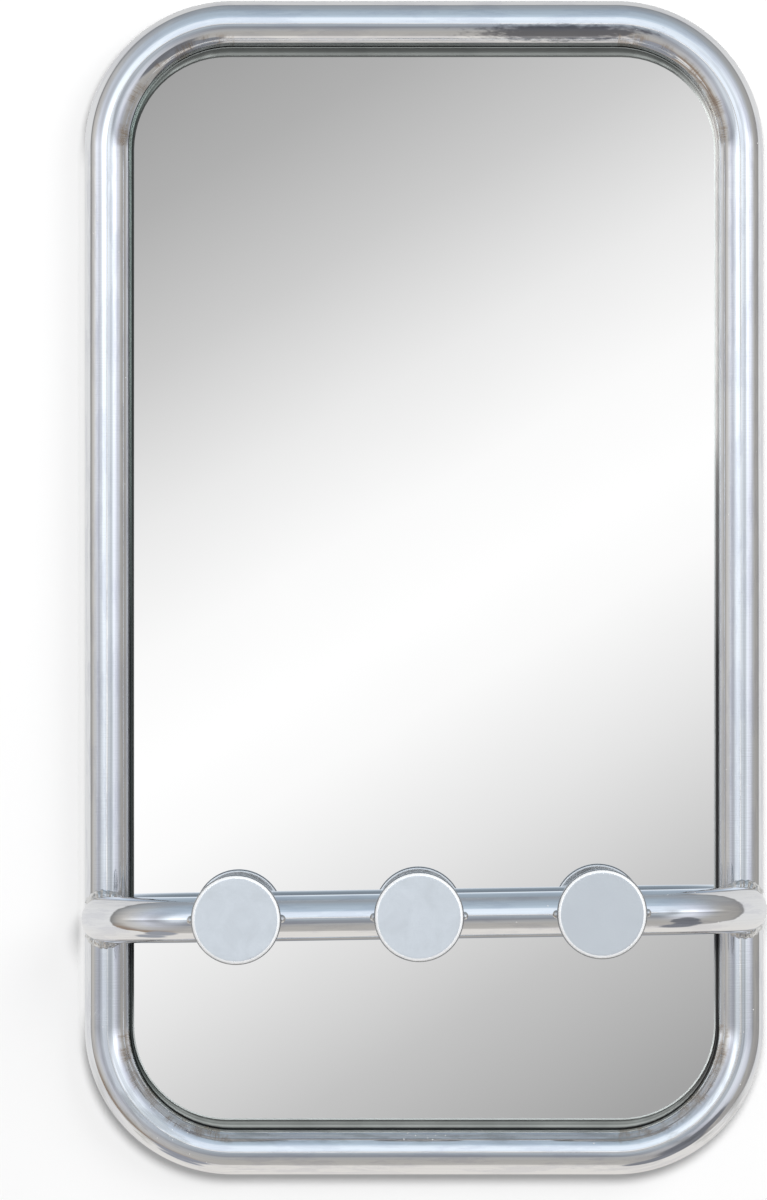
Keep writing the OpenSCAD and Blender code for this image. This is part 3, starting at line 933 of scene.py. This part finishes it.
def build_frame_tube(sizes, up):
    """The upper (up = 1) or lower (up = -1) bend of the frame, from its left end round to its right end."""
    radius = sizes.corner_radius
    side_x = FRAME_HIGH.x - sizes.tube_diameter / 2
    end_z = FRAME_HIGH.z - sizes.tube_diameter / 2 if up > 0 else FRAME_BOTTOM + sizes.tube_diameter / 2
    corner_z = end_z - up * radius
    corner_x = side_x - radius
    tube = TubeBuilder(sizes, Vector((-side_x, TUBE_Y, JOINT_Z)), Vector((0, 0, up)))
    tube.run((0, 0, corner_z - JOINT_Z))
    turn = up * math.radians(90)
    tube.bend((-corner_x, TUBE_Y, corner_z), "Y", turn, radius, sizes.bend_steps)
    tube.run((2 * corner_x, 0, 0))
    tube.bend((corner_x, TUBE_Y, corner_z), "Y", turn, radius, sizes.bend_steps)
    tube.run((0, 0, JOINT_Z - corner_z))
    return tube.close()


def build_rail(sizes):
    """The rail, from the end of its left leg to the end of its right one, with its ends coped to the frame."""
    outer = sizes.tube_diameter / 2
    radius = sizes.bend_radius
    leg_x = RAIL_HIGH.x - outer
    bend_x = leg_x - radius
    rail_y = RAIL_LOW.y + outer
    rail_z = (RAIL_LOW.z + RAIL_HIGH.z) / 2
    leg = TUBE_Y - rail_y - radius
    tube = TubeBuilder(sizes, Vector((-leg_x, TUBE_Y, rail_z)), Vector((0, -1, 0)))
    tube.run((0, -leg, 0))
    turn = math.radians(90)
    tube.bend((-bend_x, rail_y + radius, rail_z), "Z", turn, radius, sizes.bend_steps)
    tube.run((2 * bend_x, 0, 0))
    tube.bend((bend_x, rail_y + radius, rail_z), "Z", turn, radius, sizes.bend_steps)
    tube.run((0, leg, 0))
    bm = tube.close()
    tilt = Matrix.Rotation(-RAIL_TILT, 3, "Y")
    bmesh.ops.rotate(bm, verts=bm.verts, cent=(0, rail_y, rail_z), matrix=tilt)
    side_x = FRAME_HIGH.x - outer
    for vert in bm.verts:
        if vert.co.y > TUBE_Y - MICRON:
            off_axis = abs(vert.co.x) - side_x
            lead = math.sqrt(max(0.0, outer**2 - off_axis**2))
            vert.co.y = TUBE_Y - max(lead, sizes.leg_stop)
    return bm


def build_peg(sizes, node):
    """A turned disc: a short cylinder with a rounded front rim and an eased back edge."""
    low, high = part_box(node)
    centre = (low + high) / 2
    radius = (high.z - low.z) / 2
    depth = high.y - low.y
    bm = bmesh.new()
    bmesh.ops.create_cone(bm, cap_ends=True, segments=PEG_SIDES, radius1=radius, radius2=radius, depth=depth)
    place = Matrix.Translation(centre) @ Matrix.Rotation(math.radians(90), 4, "X")
    bmesh.ops.transform(bm, matrix=place, verts=bm.verts)
    for level, offset, segments in ((low.y, sizes.peg_rim, PEG_RIM_STEPS), (high.y, sizes.peg_back, PEG_BACK_STEPS)):
        rim = [edge for edge in bm.edges if all(abs(vert.co.y - level) < MICRON for vert in edge.verts)]
        bevel_round(bm, rim, offset, segments)
    caps = [face for face in bm.faces if len(face.verts) == PEG_SIDES]
    bmesh.ops.inset_individual(bm, faces=caps, thickness=PEG_BAND)
    lay_profile_map(bm, centre, low.y, high.y, radius)
    return bm


def lay_profile_map(bm, centre, front, back, radius):
    """UV map of a turned piece: u runs along its profile from the middle of the face, v runs round it."""
    uv = bm.loops.layers.uv.new("UVMap")
    for face in bm.faces:
        for loop in face.loops:
            out = loop.vert.co - centre
            off_axis = math.hypot(out.x, out.z)
            u = off_axis + loop.vert.co.y - front
            if loop.vert.co.y > back - MICRON:
                u = radius + back - front + radius - off_axis
            loop[uv].uv = (u, math.atan2(out.z, out.x) * radius)


def remeshed(bm, name, voxel):
    """A bmesh of the same form with faces of one size."""
    mesh = bpy.data.meshes.new(name)
    bm.to_mesh(mesh)
    bm.free()
    holder = bpy.data.objects.new(name, mesh)
    bpy.context.scene.collection.objects.link(holder)
    even = holder.modifiers.new("even", "REMESH")
    even.mode = "VOXEL"
    even.voxel_size = voxel
    graph = bpy.context.evaluated_depsgraph_get()
    evened = bpy.data.meshes.new_from_object(holder.evaluated_get(graph))
    bpy.data.objects.remove(holder)
    bm = bmesh.new()
    bm.from_mesh(evened)
    bmesh.ops.recalc_face_normals(bm, faces=bm.faces)
    bm.normal_update()
    return bm


def build_weld(node, voxel, lump):
    """A weld bead: the CAD node's bead, remeshed evenly and made lumpy."""
    bm = remeshed(node_bmesh(node), node + "_rough", voxel)
    heights = [sum(lump * share * noise.noise(vert.co * rate) for rate, share in WELD_LUMPS) for vert in bm.verts]
    for vert, height in zip(bm.verts, heights):
        vert.co += height * vert.normal
    return bm


def build_glass():
    """The pane, with the mirror on its flat face and the edge finish on its arris and sides."""
    bm = flat_bmesh("mirror_glass")
    for face in bm.faces:
        face.material_index = 0 if face.normal.y < -0.99 else 1
    return bm


def outside_of(point, half_width, half_height, radius):
    """How far a point lies outside a rounded rectangle round the frame's middle; negative inside it."""
    dx = abs(point.x) - half_width + radius
    dz = abs(point.z - FRAME_Z) - half_height + radius
    corner = math.hypot(max(dx, 0.0), max(dz, 0.0))
    return corner + min(max(dx, dz), 0.0) - radius


def build_seal(sizes):
    """The seal with two values on its vertices: how far across the strip they lie, and how wide the strip is there."""
    bm = node_bmesh("edge_seal")
    across = bm.verts.layers.float.new("across")
    wide = bm.verts.layers.float.new("wide")
    low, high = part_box("edge_seal")
    glass_low, glass_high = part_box("mirror_glass")
    rounding = sizes.corner_radius - sizes.tube_diameter / 2
    end_gap = high.z - glass_high.z
    for vert in bm.verts:
        to_tube = -outside_of(vert.co, high.x, (high.z - low.z) / 2, rounding)
        to_glass = outside_of(vert.co, glass_high.x, (glass_high.z - glass_low.z) / 2, rounding - GLASS_CORNER_STEP)
        gap = max(to_tube + to_glass, 0.1 * MM)
        vert[across] = min(max(to_tube / gap, 0.0), 1.0)
        vert[wide] = gap / end_gap
    return bm


def build_eased(sizes, node):
    """A copy of a CAD node with its sharp edges eased."""
    bm = flat_bmesh(node)
    sharp = [edge for edge in bm.edges if len(edge.link_faces) == 2 and edge.calc_face_angle() > CREASE]
    bevel_round(bm, sharp, sizes.sheet_edge, 2, clamp=True)
    return bm


def make_eased_piece(node, finish, slot):
    """Turns the eased copy of a CAD node into the piece that stands for it."""
    make_piece(build_eased(settings()[0], node), node + "_eased", [finish], slot, node, sharp=SHARP_EASED)


# ---- Studio ----

TINTS = {
    "cool": (0.84, 1.0, 1.16),
    "soft": (0.91, 1.0, 1.10),
    "pale": (0.94, 1.0, 1.07),
    "lavender": (0.97, 1.0, 1.10),
    "plain": (1.0, 1.0, 1.0),
    "warm": (1.04, 1.0, 0.95),
    "brown": (1.3, 0.97, 0.72),
}
# The studio as the mirror's face looks out on it. For each side: the angle off the straight-ahead direction at which
# the wall behind begins, in degrees, the wall's brightness and tint, and the cards before it, each with its angle,
# brightness and tint.
STUDIO = {
    "up": (109, (0.67, "plain"), (
        (0, 0.63, "soft"), (5, 0.67, "soft"), (12, 0.90, "soft"), (20, 0.99, "soft"), (28, 0.90, "soft"),
        (36, 0.68, "cool"), (43, 0.57, "cool"), (57, 0.49, "cool"), (70, 0.44, "cool"),
        (84, 0.37, "soft"), (101, 0.34, "soft"), (109, 0.26, "plain"),
    )),
    "down": (70, (0.76, "warm"), (
        (0, 0.63, "soft"), (7, 0.59, "soft"), (14, 0.37, "soft"), (23, 0.28, "lavender"),
        (31, 0.42, "plain"), (44, 0.43, "warm"), (60, 0.45, "warm"), (70, 0.52, "warm"),
    )),
    "right": (104, (0.77, "plain"), (
        (0, 0.63, "soft"), (8, 0.76, "pale"), (17, 0.58, "pale"), (22, 0.66, "pale"), (29, 0.97, "pale"),
        (40, 0.94, "lavender"), (47, 0.78, "lavender"), (56, 0.60, "lavender"),
        (66, 0.46, "plain"), (76, 0.39, "warm"), (96, 0.34, "warm"), (104, 0.26, "plain"),
    )),
    "left": (95, (0.78, "plain"), (
        (0, 0.63, "soft"), (7, 0.94, "pale"), (17, 1.02, "pale"), (24, 0.95, "pale"), (31, 0.70, "pale"),
        (39, 0.50, "lavender"), (45, 0.54, "lavender"), (53, 0.67, "lavender"),
        (66, 0.63, "plain"), (76, 0.57, "warm"), (85, 0.42, "warm"), (95, 0.22, "plain"),
    )),
}
# Brightness of the room near eye height, from LEVEL_REACH below straight ahead to as much above: darker just below
# it and brighter just above
ROOM_LEVELS = (
    (0.0, 1.0), (0.25, 0.86), (0.41, 0.70), (0.445, 0.63), (0.471, 0.86), (0.495, 1.0),
    (0.52, 1.13), (0.537, 1.29), (0.556, 1.47), (0.6, 1.42), (0.75, 1.14), (1.0, 1.0),
)
LEVEL_REACH = 0.3
# Things that stand about. Each is a round patch: how far off straight ahead its middle is, how far round from
# straight down, positive to the right, how far it reaches, all in degrees, and its brightness
THINGS = (
    (52, 36, 14, 0.18),
    (68, 28, 12, 0.20),
    (76, 15, 11, 0.24),
    (78, -22, 12, 0.34),
    (98, -22, 9, 0.36),
)
# The pale sheet straight ahead, from its upper left to its lower right: place across it and brightness
SHEET = (
    (0.0, 0.40), (0.1, 0.50), (0.22, 0.69), (0.34, 0.95), (0.44, 1.10),
    (0.53, 1.15), (0.6, 1.10), (0.72, 0.89), (0.85, 0.63), (1.0, 0.42),
)
SHEET_REACH = 0.040
# Direction across the sheet's bright band, which rises to the right
SHEET_ACROSS = (0.506, -0.863)
# Share of plain white that the camera sees in the wall, which softens the shadows on it
WALL_WHITENESS = 0.11
# Share of painted white that is added close beside the left tube, which lightens the wall's shadow there
LEFT_TUBE_PAINTED_WHITE = 0.58
# Stage planes: the width of each, the wall's gap behind the mirror, and how far the wall's middle lies above the
# frame's middle and the floor below it
WALL_SIZE = 3.0
WALL_GAP = 0.6 * MM
WALL_RISE = 0.6
FLOOR_SIZE = 16.0
FLOOR_DROP = 0.9
# Lamps: place beside, before and above the frame's middle, and diameter
LAMPS = {"key": ((0.25, -4.0, 0.85), 1.4), "fill": ((1.9, -2.2, 1.3), 2.0)}


def tinted(brightness, tint):
    """A named tint at a brightness."""
    return shaded(TINTS[tint], brightness)


def side_shares(tree, x, z):
    """Share of each side in a direction; the four add up to one."""
    spread = plus(tree, times(tree, x, x), times(tree, z, z), 1e-9)
    shares = {}
    for side, axis, sign in (("up", z, 1.0), ("down", z, -1.0), ("right", x, 1.0), ("left", x, -1.0)):
        reach = math_node(tree, "MAXIMUM", times(tree, axis, sign), 0.0)
        shares[side] = math_node(tree, "DIVIDE", times(tree, reach, reach), spread)
    return shares


def light_cards(tree, reach, shares):
    """Colour of the cards all round; reach is 0 straight ahead and 1 where the wall behind begins."""
    cards = []
    for side, share in shares.items():
        limit, _, stops = STUDIO[side]
        stops = [(place / limit, tinted(bright, tint)) for place, bright, tint in stops]
        cards.append((ramp(tree, reach, stops), share))
    # A thin brown skirting low on the left
    low_left = remap(tree, times(tree, shares["left"], times(tree, shares["down"], 4.0)), 0.1, 0.5)
    skirting = times(tree, low_left, remap(tree, reach, 0.78, 0.96, 0.0, 0.9, smooth=True))
    return blend_colours(tree, skirting, weighted_sum(tree, cards), tinted(0.24, "brown"))


def eye_level(tree, angle, z):
    """Brightness that the height of a direction gives to what lies ahead."""
    level = ramp(tree, remap(tree, z, -LEVEL_REACH, LEVEL_REACH), ROOM_LEVELS)
    return blend_colours(tree, remap(tree, angle, 62.0, 84.0, smooth=True), level, (1.0, 1.0, 1.0))


def thing_mask(tree, way, off, turn, size):
    """1 in the directions of a thing that stands about, 0 elsewhere; the three angles are as in THINGS."""
    off, turn = math.radians(off), math.radians(turn)
    middle = (math.sin(off) * math.sin(turn), -math.cos(off), -math.sin(off) * math.cos(turn))
    facing = vector_math(tree, "DOT_PRODUCT", way, middle)
    soft_edge = [math.cos(math.radians(size + fade)) for fade in (2, -2)]
    return remap(tree, facing, *soft_edge, smooth=True)


def studio_room(tree, way):
    """Colour of the room in a direction: cards, the wall behind, what stands about, and a sheet straight ahead."""
    x, y, z = axes(tree, way)
    angle = times(tree, math_node(tree, "ARCCOSINE", times(tree, y, -1.0)), 180 / math.pi)
    shares = side_shares(tree, x, z)
    limits = weighted_sum(tree, [((STUDIO[side][0],) * 3, share) for side, share in shares.items()])
    reach = math_node(tree, "DIVIDE", angle, limits)
    room = vector_math(tree, "MULTIPLY", light_cards(tree, reach, shares), eye_level(tree, angle, z))
    walls = weighted_sum(tree, [(tinted(*STUDIO[side][1]), share) for side, share in shares.items()])
    room = blend_colours(tree, remap(tree, reach, 0.985, 1.015, smooth=True), room, walls)
    for off, turn, size, bright in THINGS:
        room = blend_colours(tree, thing_mask(tree, way, off, turn, size), room, tinted(bright, "lavender"))
    across = plus(tree, *(times(tree, axis, part) for axis, part in zip((x, z), SHEET_ACROSS)))
    sheet = ramp(tree, remap(tree, across, -SHEET_REACH, SHEET_REACH), SHEET)
    return blend_colours(tree, remap(tree, angle, 2.6, 3.4, smooth=True), sheet, room)


def build_world(studio):
    """The room that the metal and the glass reflect; the camera itself sees plain white."""
    world = bpy.data.worlds.new("studio")
    bpy.context.scene.world = world
    world.use_nodes = True
    tree = world.node_tree
    tree.nodes.clear()
    room = studio_room(tree, add(tree, "ShaderNodeTexCoord").outputs["Generated"])
    rays = add(tree, "ShaderNodeLightPath").outputs
    seen = blend_colours(tree, rays["Is Glossy Ray"], (studio.ambient,) * 3, room)
    seen = blend_colours(tree, rays["Is Camera Ray"], seen, (1.0, 1.0, 1.0))
    background = add(tree, "ShaderNodeBackground", Color=seen)
    add(tree, "ShaderNodeOutputWorld", Surface=background.outputs["Background"])


def beside_left_tube(tree):
    """1 on the wall close beside the straight part of the left tube, 0 elsewhere."""
    x, _, z = axes(tree, object_coordinates(tree))
    near = remap(tree, x, FRAME_LOW.x - 4.4 * MM, FRAME_LOW.x - 2 * MM)
    behind = remap(tree, x, FRAME_LOW.x + 5 * MM, FRAME_LOW.x + 10 * MM, 1.0, 0.0)
    return times(tree, near, behind, along_straight(tree, z, 25 * MM))


def plain_material(name, colour):
    """A matt stage colour."""
    return mottled_material(name, shaded(colour, 0.985), colour, 0.0, 0.95, 3.0, 200.0, Specular_IOR_Level=0.1)


def mix_shaders(tree, mask, first, second):
    """Shader output that goes from the first shader to the second as the mask rises."""
    node = add(tree, "ShaderNodeMixShader")
    for socket, value in zip(node.inputs, (mask, first, second)):
        tree.links.new(value, socket)
    return node.outputs["Shader"]


def wall_material(colour):
    """The wall's matt colour, whitened for the camera; from behind, the wall can't be seen."""
    material = plain_material("wall", colour)
    tree = material.node_tree
    matt = tree.nodes["Principled BSDF"].outputs["BSDF"]
    white = add(tree, "ShaderNodeEmission", Color=(1, 1, 1), Strength=1.0).outputs["Emission"]
    # Painted white beside the left tube lightens the wall's shadow there
    whiteness = between(tree, beside_left_tube(tree), WALL_WHITENESS, WALL_WHITENESS + LEFT_TUBE_PAINTED_WHITE)
    seen = times(tree, add(tree, "ShaderNodeLightPath").outputs["Is Camera Ray"], whiteness)
    clear = add(tree, "ShaderNodeBsdfTransparent").outputs["BSDF"]
    from_behind = add(tree, "ShaderNodeNewGeometry").outputs["Backfacing"]
    either = mix_shaders(tree, from_behind, mix_shaders(tree, seen, matt, white), clear)
    tree.links.new(either, tree.nodes["Material Output"].inputs["Surface"])
    return material


def build_plane(name, size, place, turn, material):
    """A square stage plane that only the camera sees."""
    bm = bmesh.new()
    bmesh.ops.create_grid(bm, x_segments=1, y_segments=1, size=size / 2)
    bmesh.ops.transform(bm, matrix=Matrix.Translation(place) @ turn, verts=bm.verts)
    mesh = bpy.data.meshes.new(name)
    bm.to_mesh(mesh)
    bm.free()
    plane = bpy.data.objects.new(name, mesh)
    bpy.context.scene.collection.objects.link(plane)
    mesh.materials.append(material)
    plane.visible_glossy = False
    plane.visible_diffuse = False
    plane.visible_transmission = False
    plane.visible_shadow = False
    plane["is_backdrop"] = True


def build_lamp(name, power):
    """A large soft lamp, turned to the frame's middle, that doesn't show in reflections."""
    (beside, before, above), size = LAMPS[name]
    place = Vector((beside, before, FRAME_Z + above))
    data = bpy.data.lights.new(name, "AREA")
    data.shape = "DISK"
    data.size = size
    data.energy = power
    lamp = bpy.data.objects.new(name, data)
    bpy.context.scene.collection.objects.link(lamp)
    lamp.location = place
    lamp.rotation_euler = (Vector((0, 0, FRAME_Z)) - place).to_track_quat("-Z", "Y").to_euler()
    lamp.visible_glossy = False


def build_camera(studio):
    """The camera, square to the wall, at a distance at which the picture takes in the asked height."""
    data = bpy.data.cameras.new("camera")
    data.sensor_width = 36
    data.lens = data.sensor_width * studio.camera_distance / studio.view_height
    data.clip_start = 0.1
    data.clip_end = 100
    camera = bpy.data.objects.new("camera", data)
    bpy.context.scene.collection.objects.link(camera)
    centre = Vector(studio.view_centre)
    camera.location = (centre.x, TUBE_Y - studio.camera_distance, centre.z)
    camera.rotation_euler = (math.radians(90), 0, 0)
    bpy.context.scene.camera = camera


# ---- Operators ----


class MIRROR_OT_frame_tubes(bpy.types.Operator):
    """Build the two polished bends of the frame and dress the sleeves inside them"""

    bl_idname = "tube_mirror.frame_tubes"
    bl_label = "Frame Tubes"

    def execute(self, context):
        sizes = context.scene.mirror_sizes
        for name, up in (("upper", 1), ("lower", -1)):
            bm = build_frame_tube(sizes, up)
            make_piece(bm, f"frame_{name}_tube", ["tube_finish"], "polished_tube", f"frame_{name}_bend")
        for side in SIDES:
            dress(f"frame_spigot_{side}", "sheet_finish")
        return {"FINISHED"}


class MIRROR_OT_rail(bpy.types.Operator):
    """Build the polished rail with its two bends"""

    bl_idname = "tube_mirror.rail"
    bl_label = "Rail"

    def execute(self, context):
        bm = build_rail(context.scene.mirror_sizes)
        make_piece(bm, "rail", ["tube_finish"], "polished_tube", "rail_tube")
        return {"FINISHED"}


class MIRROR_OT_pegs(bpy.types.Operator):
    """Build the three satin disc pegs"""

    bl_idname = "tube_mirror.pegs"
    bl_label = "Disc Pegs"

    def execute(self, context):
        for node in PEG_NODES:
            bm = build_peg(context.scene.mirror_sizes, node)
            make_piece(bm, node.replace("disc", "face"), ["peg_finish"], "peg_aluminium", node)
        return {"FINISHED"}


class MIRROR_OT_welds(bpy.types.Operator):
    """Build the lumpy weld beads of the rail, the pegs and the hanger plates"""

    bl_idname = "tube_mirror.welds"
    bl_label = "Weld Beads"

    def execute(self, context):
        # For each bead its node, the size of its mesh's faces and the height of its lumps, in millimetres
        beads = [(f"rail_weld_{side}", 0.30, 0.42) for side in SIDES]
        beads += [(node.replace("disc", "weld"), 0.20, 0.22) for node in PEG_NODES]
        beads += [(f"hanger_weld_{side}", 0.20, 0.25) for side in SIDES]
        for node, voxel, lump in beads:
            bm = build_weld(node, voxel * MM, lump * MM)
            make_piece(bm, node + "_bead", ["weld_finish"], "weld_bead", node, sharp=SHARP_WELD)
        return {"FINISHED"}


class MIRROR_OT_glass(bpy.types.Operator):
    """Build the mirror pane and dress its seal, back coat and tape"""

    bl_idname = "tube_mirror.glass"
    bl_label = "Mirror Pane and Seal"

    def execute(self, context):
        make_piece(build_glass(), "mirror_pane", ["mirror_finish", "arris_finish"], "mirror", "mirror_glass")
        make_piece(build_seal(context.scene.mirror_sizes), "seal_strip", ["seal_finish"], "seal", "edge_seal")
        dress("silver_coat", "lacquer_finish")
        dress("foam_tape", "foam_finish")
        return {"FINISHED"}


class MIRROR_OT_back(bpy.types.Operator):
    """Dress the backing board and build its tabs and screws with eased edges"""

    bl_idname = "tube_mirror.back"
    bl_label = "Backing Board, Tabs and Screws"

    def execute(self, context):
        dress("backing_board", "board_finish")
        for node in ("tabs_left", "tabs_right", "tab_top", "tab_bottom"):
            make_eased_piece(node, "sheet_finish", "tab_aluminium")
        make_eased_piece("tab_screws", "zinc_finish", "screw_steel")
        return {"FINISHED"}


class MIRROR_OT_hanging(bpy.types.Operator):
    """Build the keyhole plates with eased edges and dress the soft wall pads"""

    bl_idname = "tube_mirror.hanging"
    bl_label = "Keyhole Plates and Pads"

    def execute(self, context):
        for side in SIDES:
            make_eased_piece(f"hanger_plate_{side}", "sheet_finish", "hanger_steel")
            dress(f"wall_pad_{side}", "rubber_finish")
        return {"FINISHED"}


class MIRROR_OT_stage(bpy.types.Operator):
    """Set up the wall, the floor, the studio's light and the camera"""

    bl_idname = "tube_mirror.stage"
    bl_label = "Wall, Floor, Light and Camera"

    def execute(self, context):
        studio = context.scene.mirror_studio
        make_effects()
        upright = Matrix.Rotation(math.radians(90), 4, "X")
        wall_place = Vector((0, WALL_GAP, FRAME_Z + WALL_RISE))
        floor_place = Vector((0, 0, FRAME_Z - FLOOR_DROP))
        build_plane("wall", WALL_SIZE, wall_place, upright, wall_material(studio.wall))
        build_plane("floor", FLOOR_SIZE, floor_place, Matrix.Identity(4), plain_material("floor", studio.floor))
        build_lamp("key", studio.key_power)
        build_lamp("fill", studio.fill_power)
        build_world(studio)
        build_camera(studio)
        context.scene.view_settings.view_transform = "Standard"
        return {"FINISHED"}


class MIRROR_PT_panel(bpy.types.Panel):
    """Lists the steps that build the mirror"""

    bl_idname = "MIRROR_PT_panel"
    bl_label = "Tube Mirror"
    bl_space_type = "VIEW_3D"
    bl_region_type = "UI"
    bl_category = "Mirror"

    def draw(self, context):
        for operator in OPERATORS:
            self.layout.operator(operator.bl_idname)
        for group_of_settings in settings():
            box = self.layout.box()
            for name in group_of_settings.__annotations__:
                box.prop(group_of_settings, name)


OPERATORS = (
    MIRROR_OT_frame_tubes,
    MIRROR_OT_rail,
    MIRROR_OT_pegs,
    MIRROR_OT_welds,
    MIRROR_OT_glass,
    MIRROR_OT_back,
    MIRROR_OT_hanging,
    MIRROR_OT_stage,
)
SETTINGS = (
    ("mirror_sizes", MirrorSizes),
    ("mirror_colours", MirrorColours),
    ("mirror_studio", MirrorStudio),
)


def register():
    for name, kind in SETTINGS:
        bpy.utils.register_class(kind)
        setattr(bpy.types.Scene, name, bpy.props.PointerProperty(type=kind))
    for kind in (*OPERATORS, MIRROR_PT_panel):
        bpy.utils.register_class(kind)


def unregister():
    for kind in (MIRROR_PT_panel, *reversed(OPERATORS)):
        bpy.utils.unregister_class(kind)
    for name, kind in reversed(SETTINGS):
        delattr(bpy.types.Scene, name)
        bpy.utils.unregister_class(kind)


def main():
    register()
    for operator in OPERATORS:
        family, step = operator.bl_idname.split(".")
        getattr(getattr(bpy.ops, family), step)()
    boxes = {"cad": cad_box, "visual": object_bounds()}
    {name: [list(corner) for corner in box] for name, box in boxes.items()}


if __name__ == "__main__":
    main()
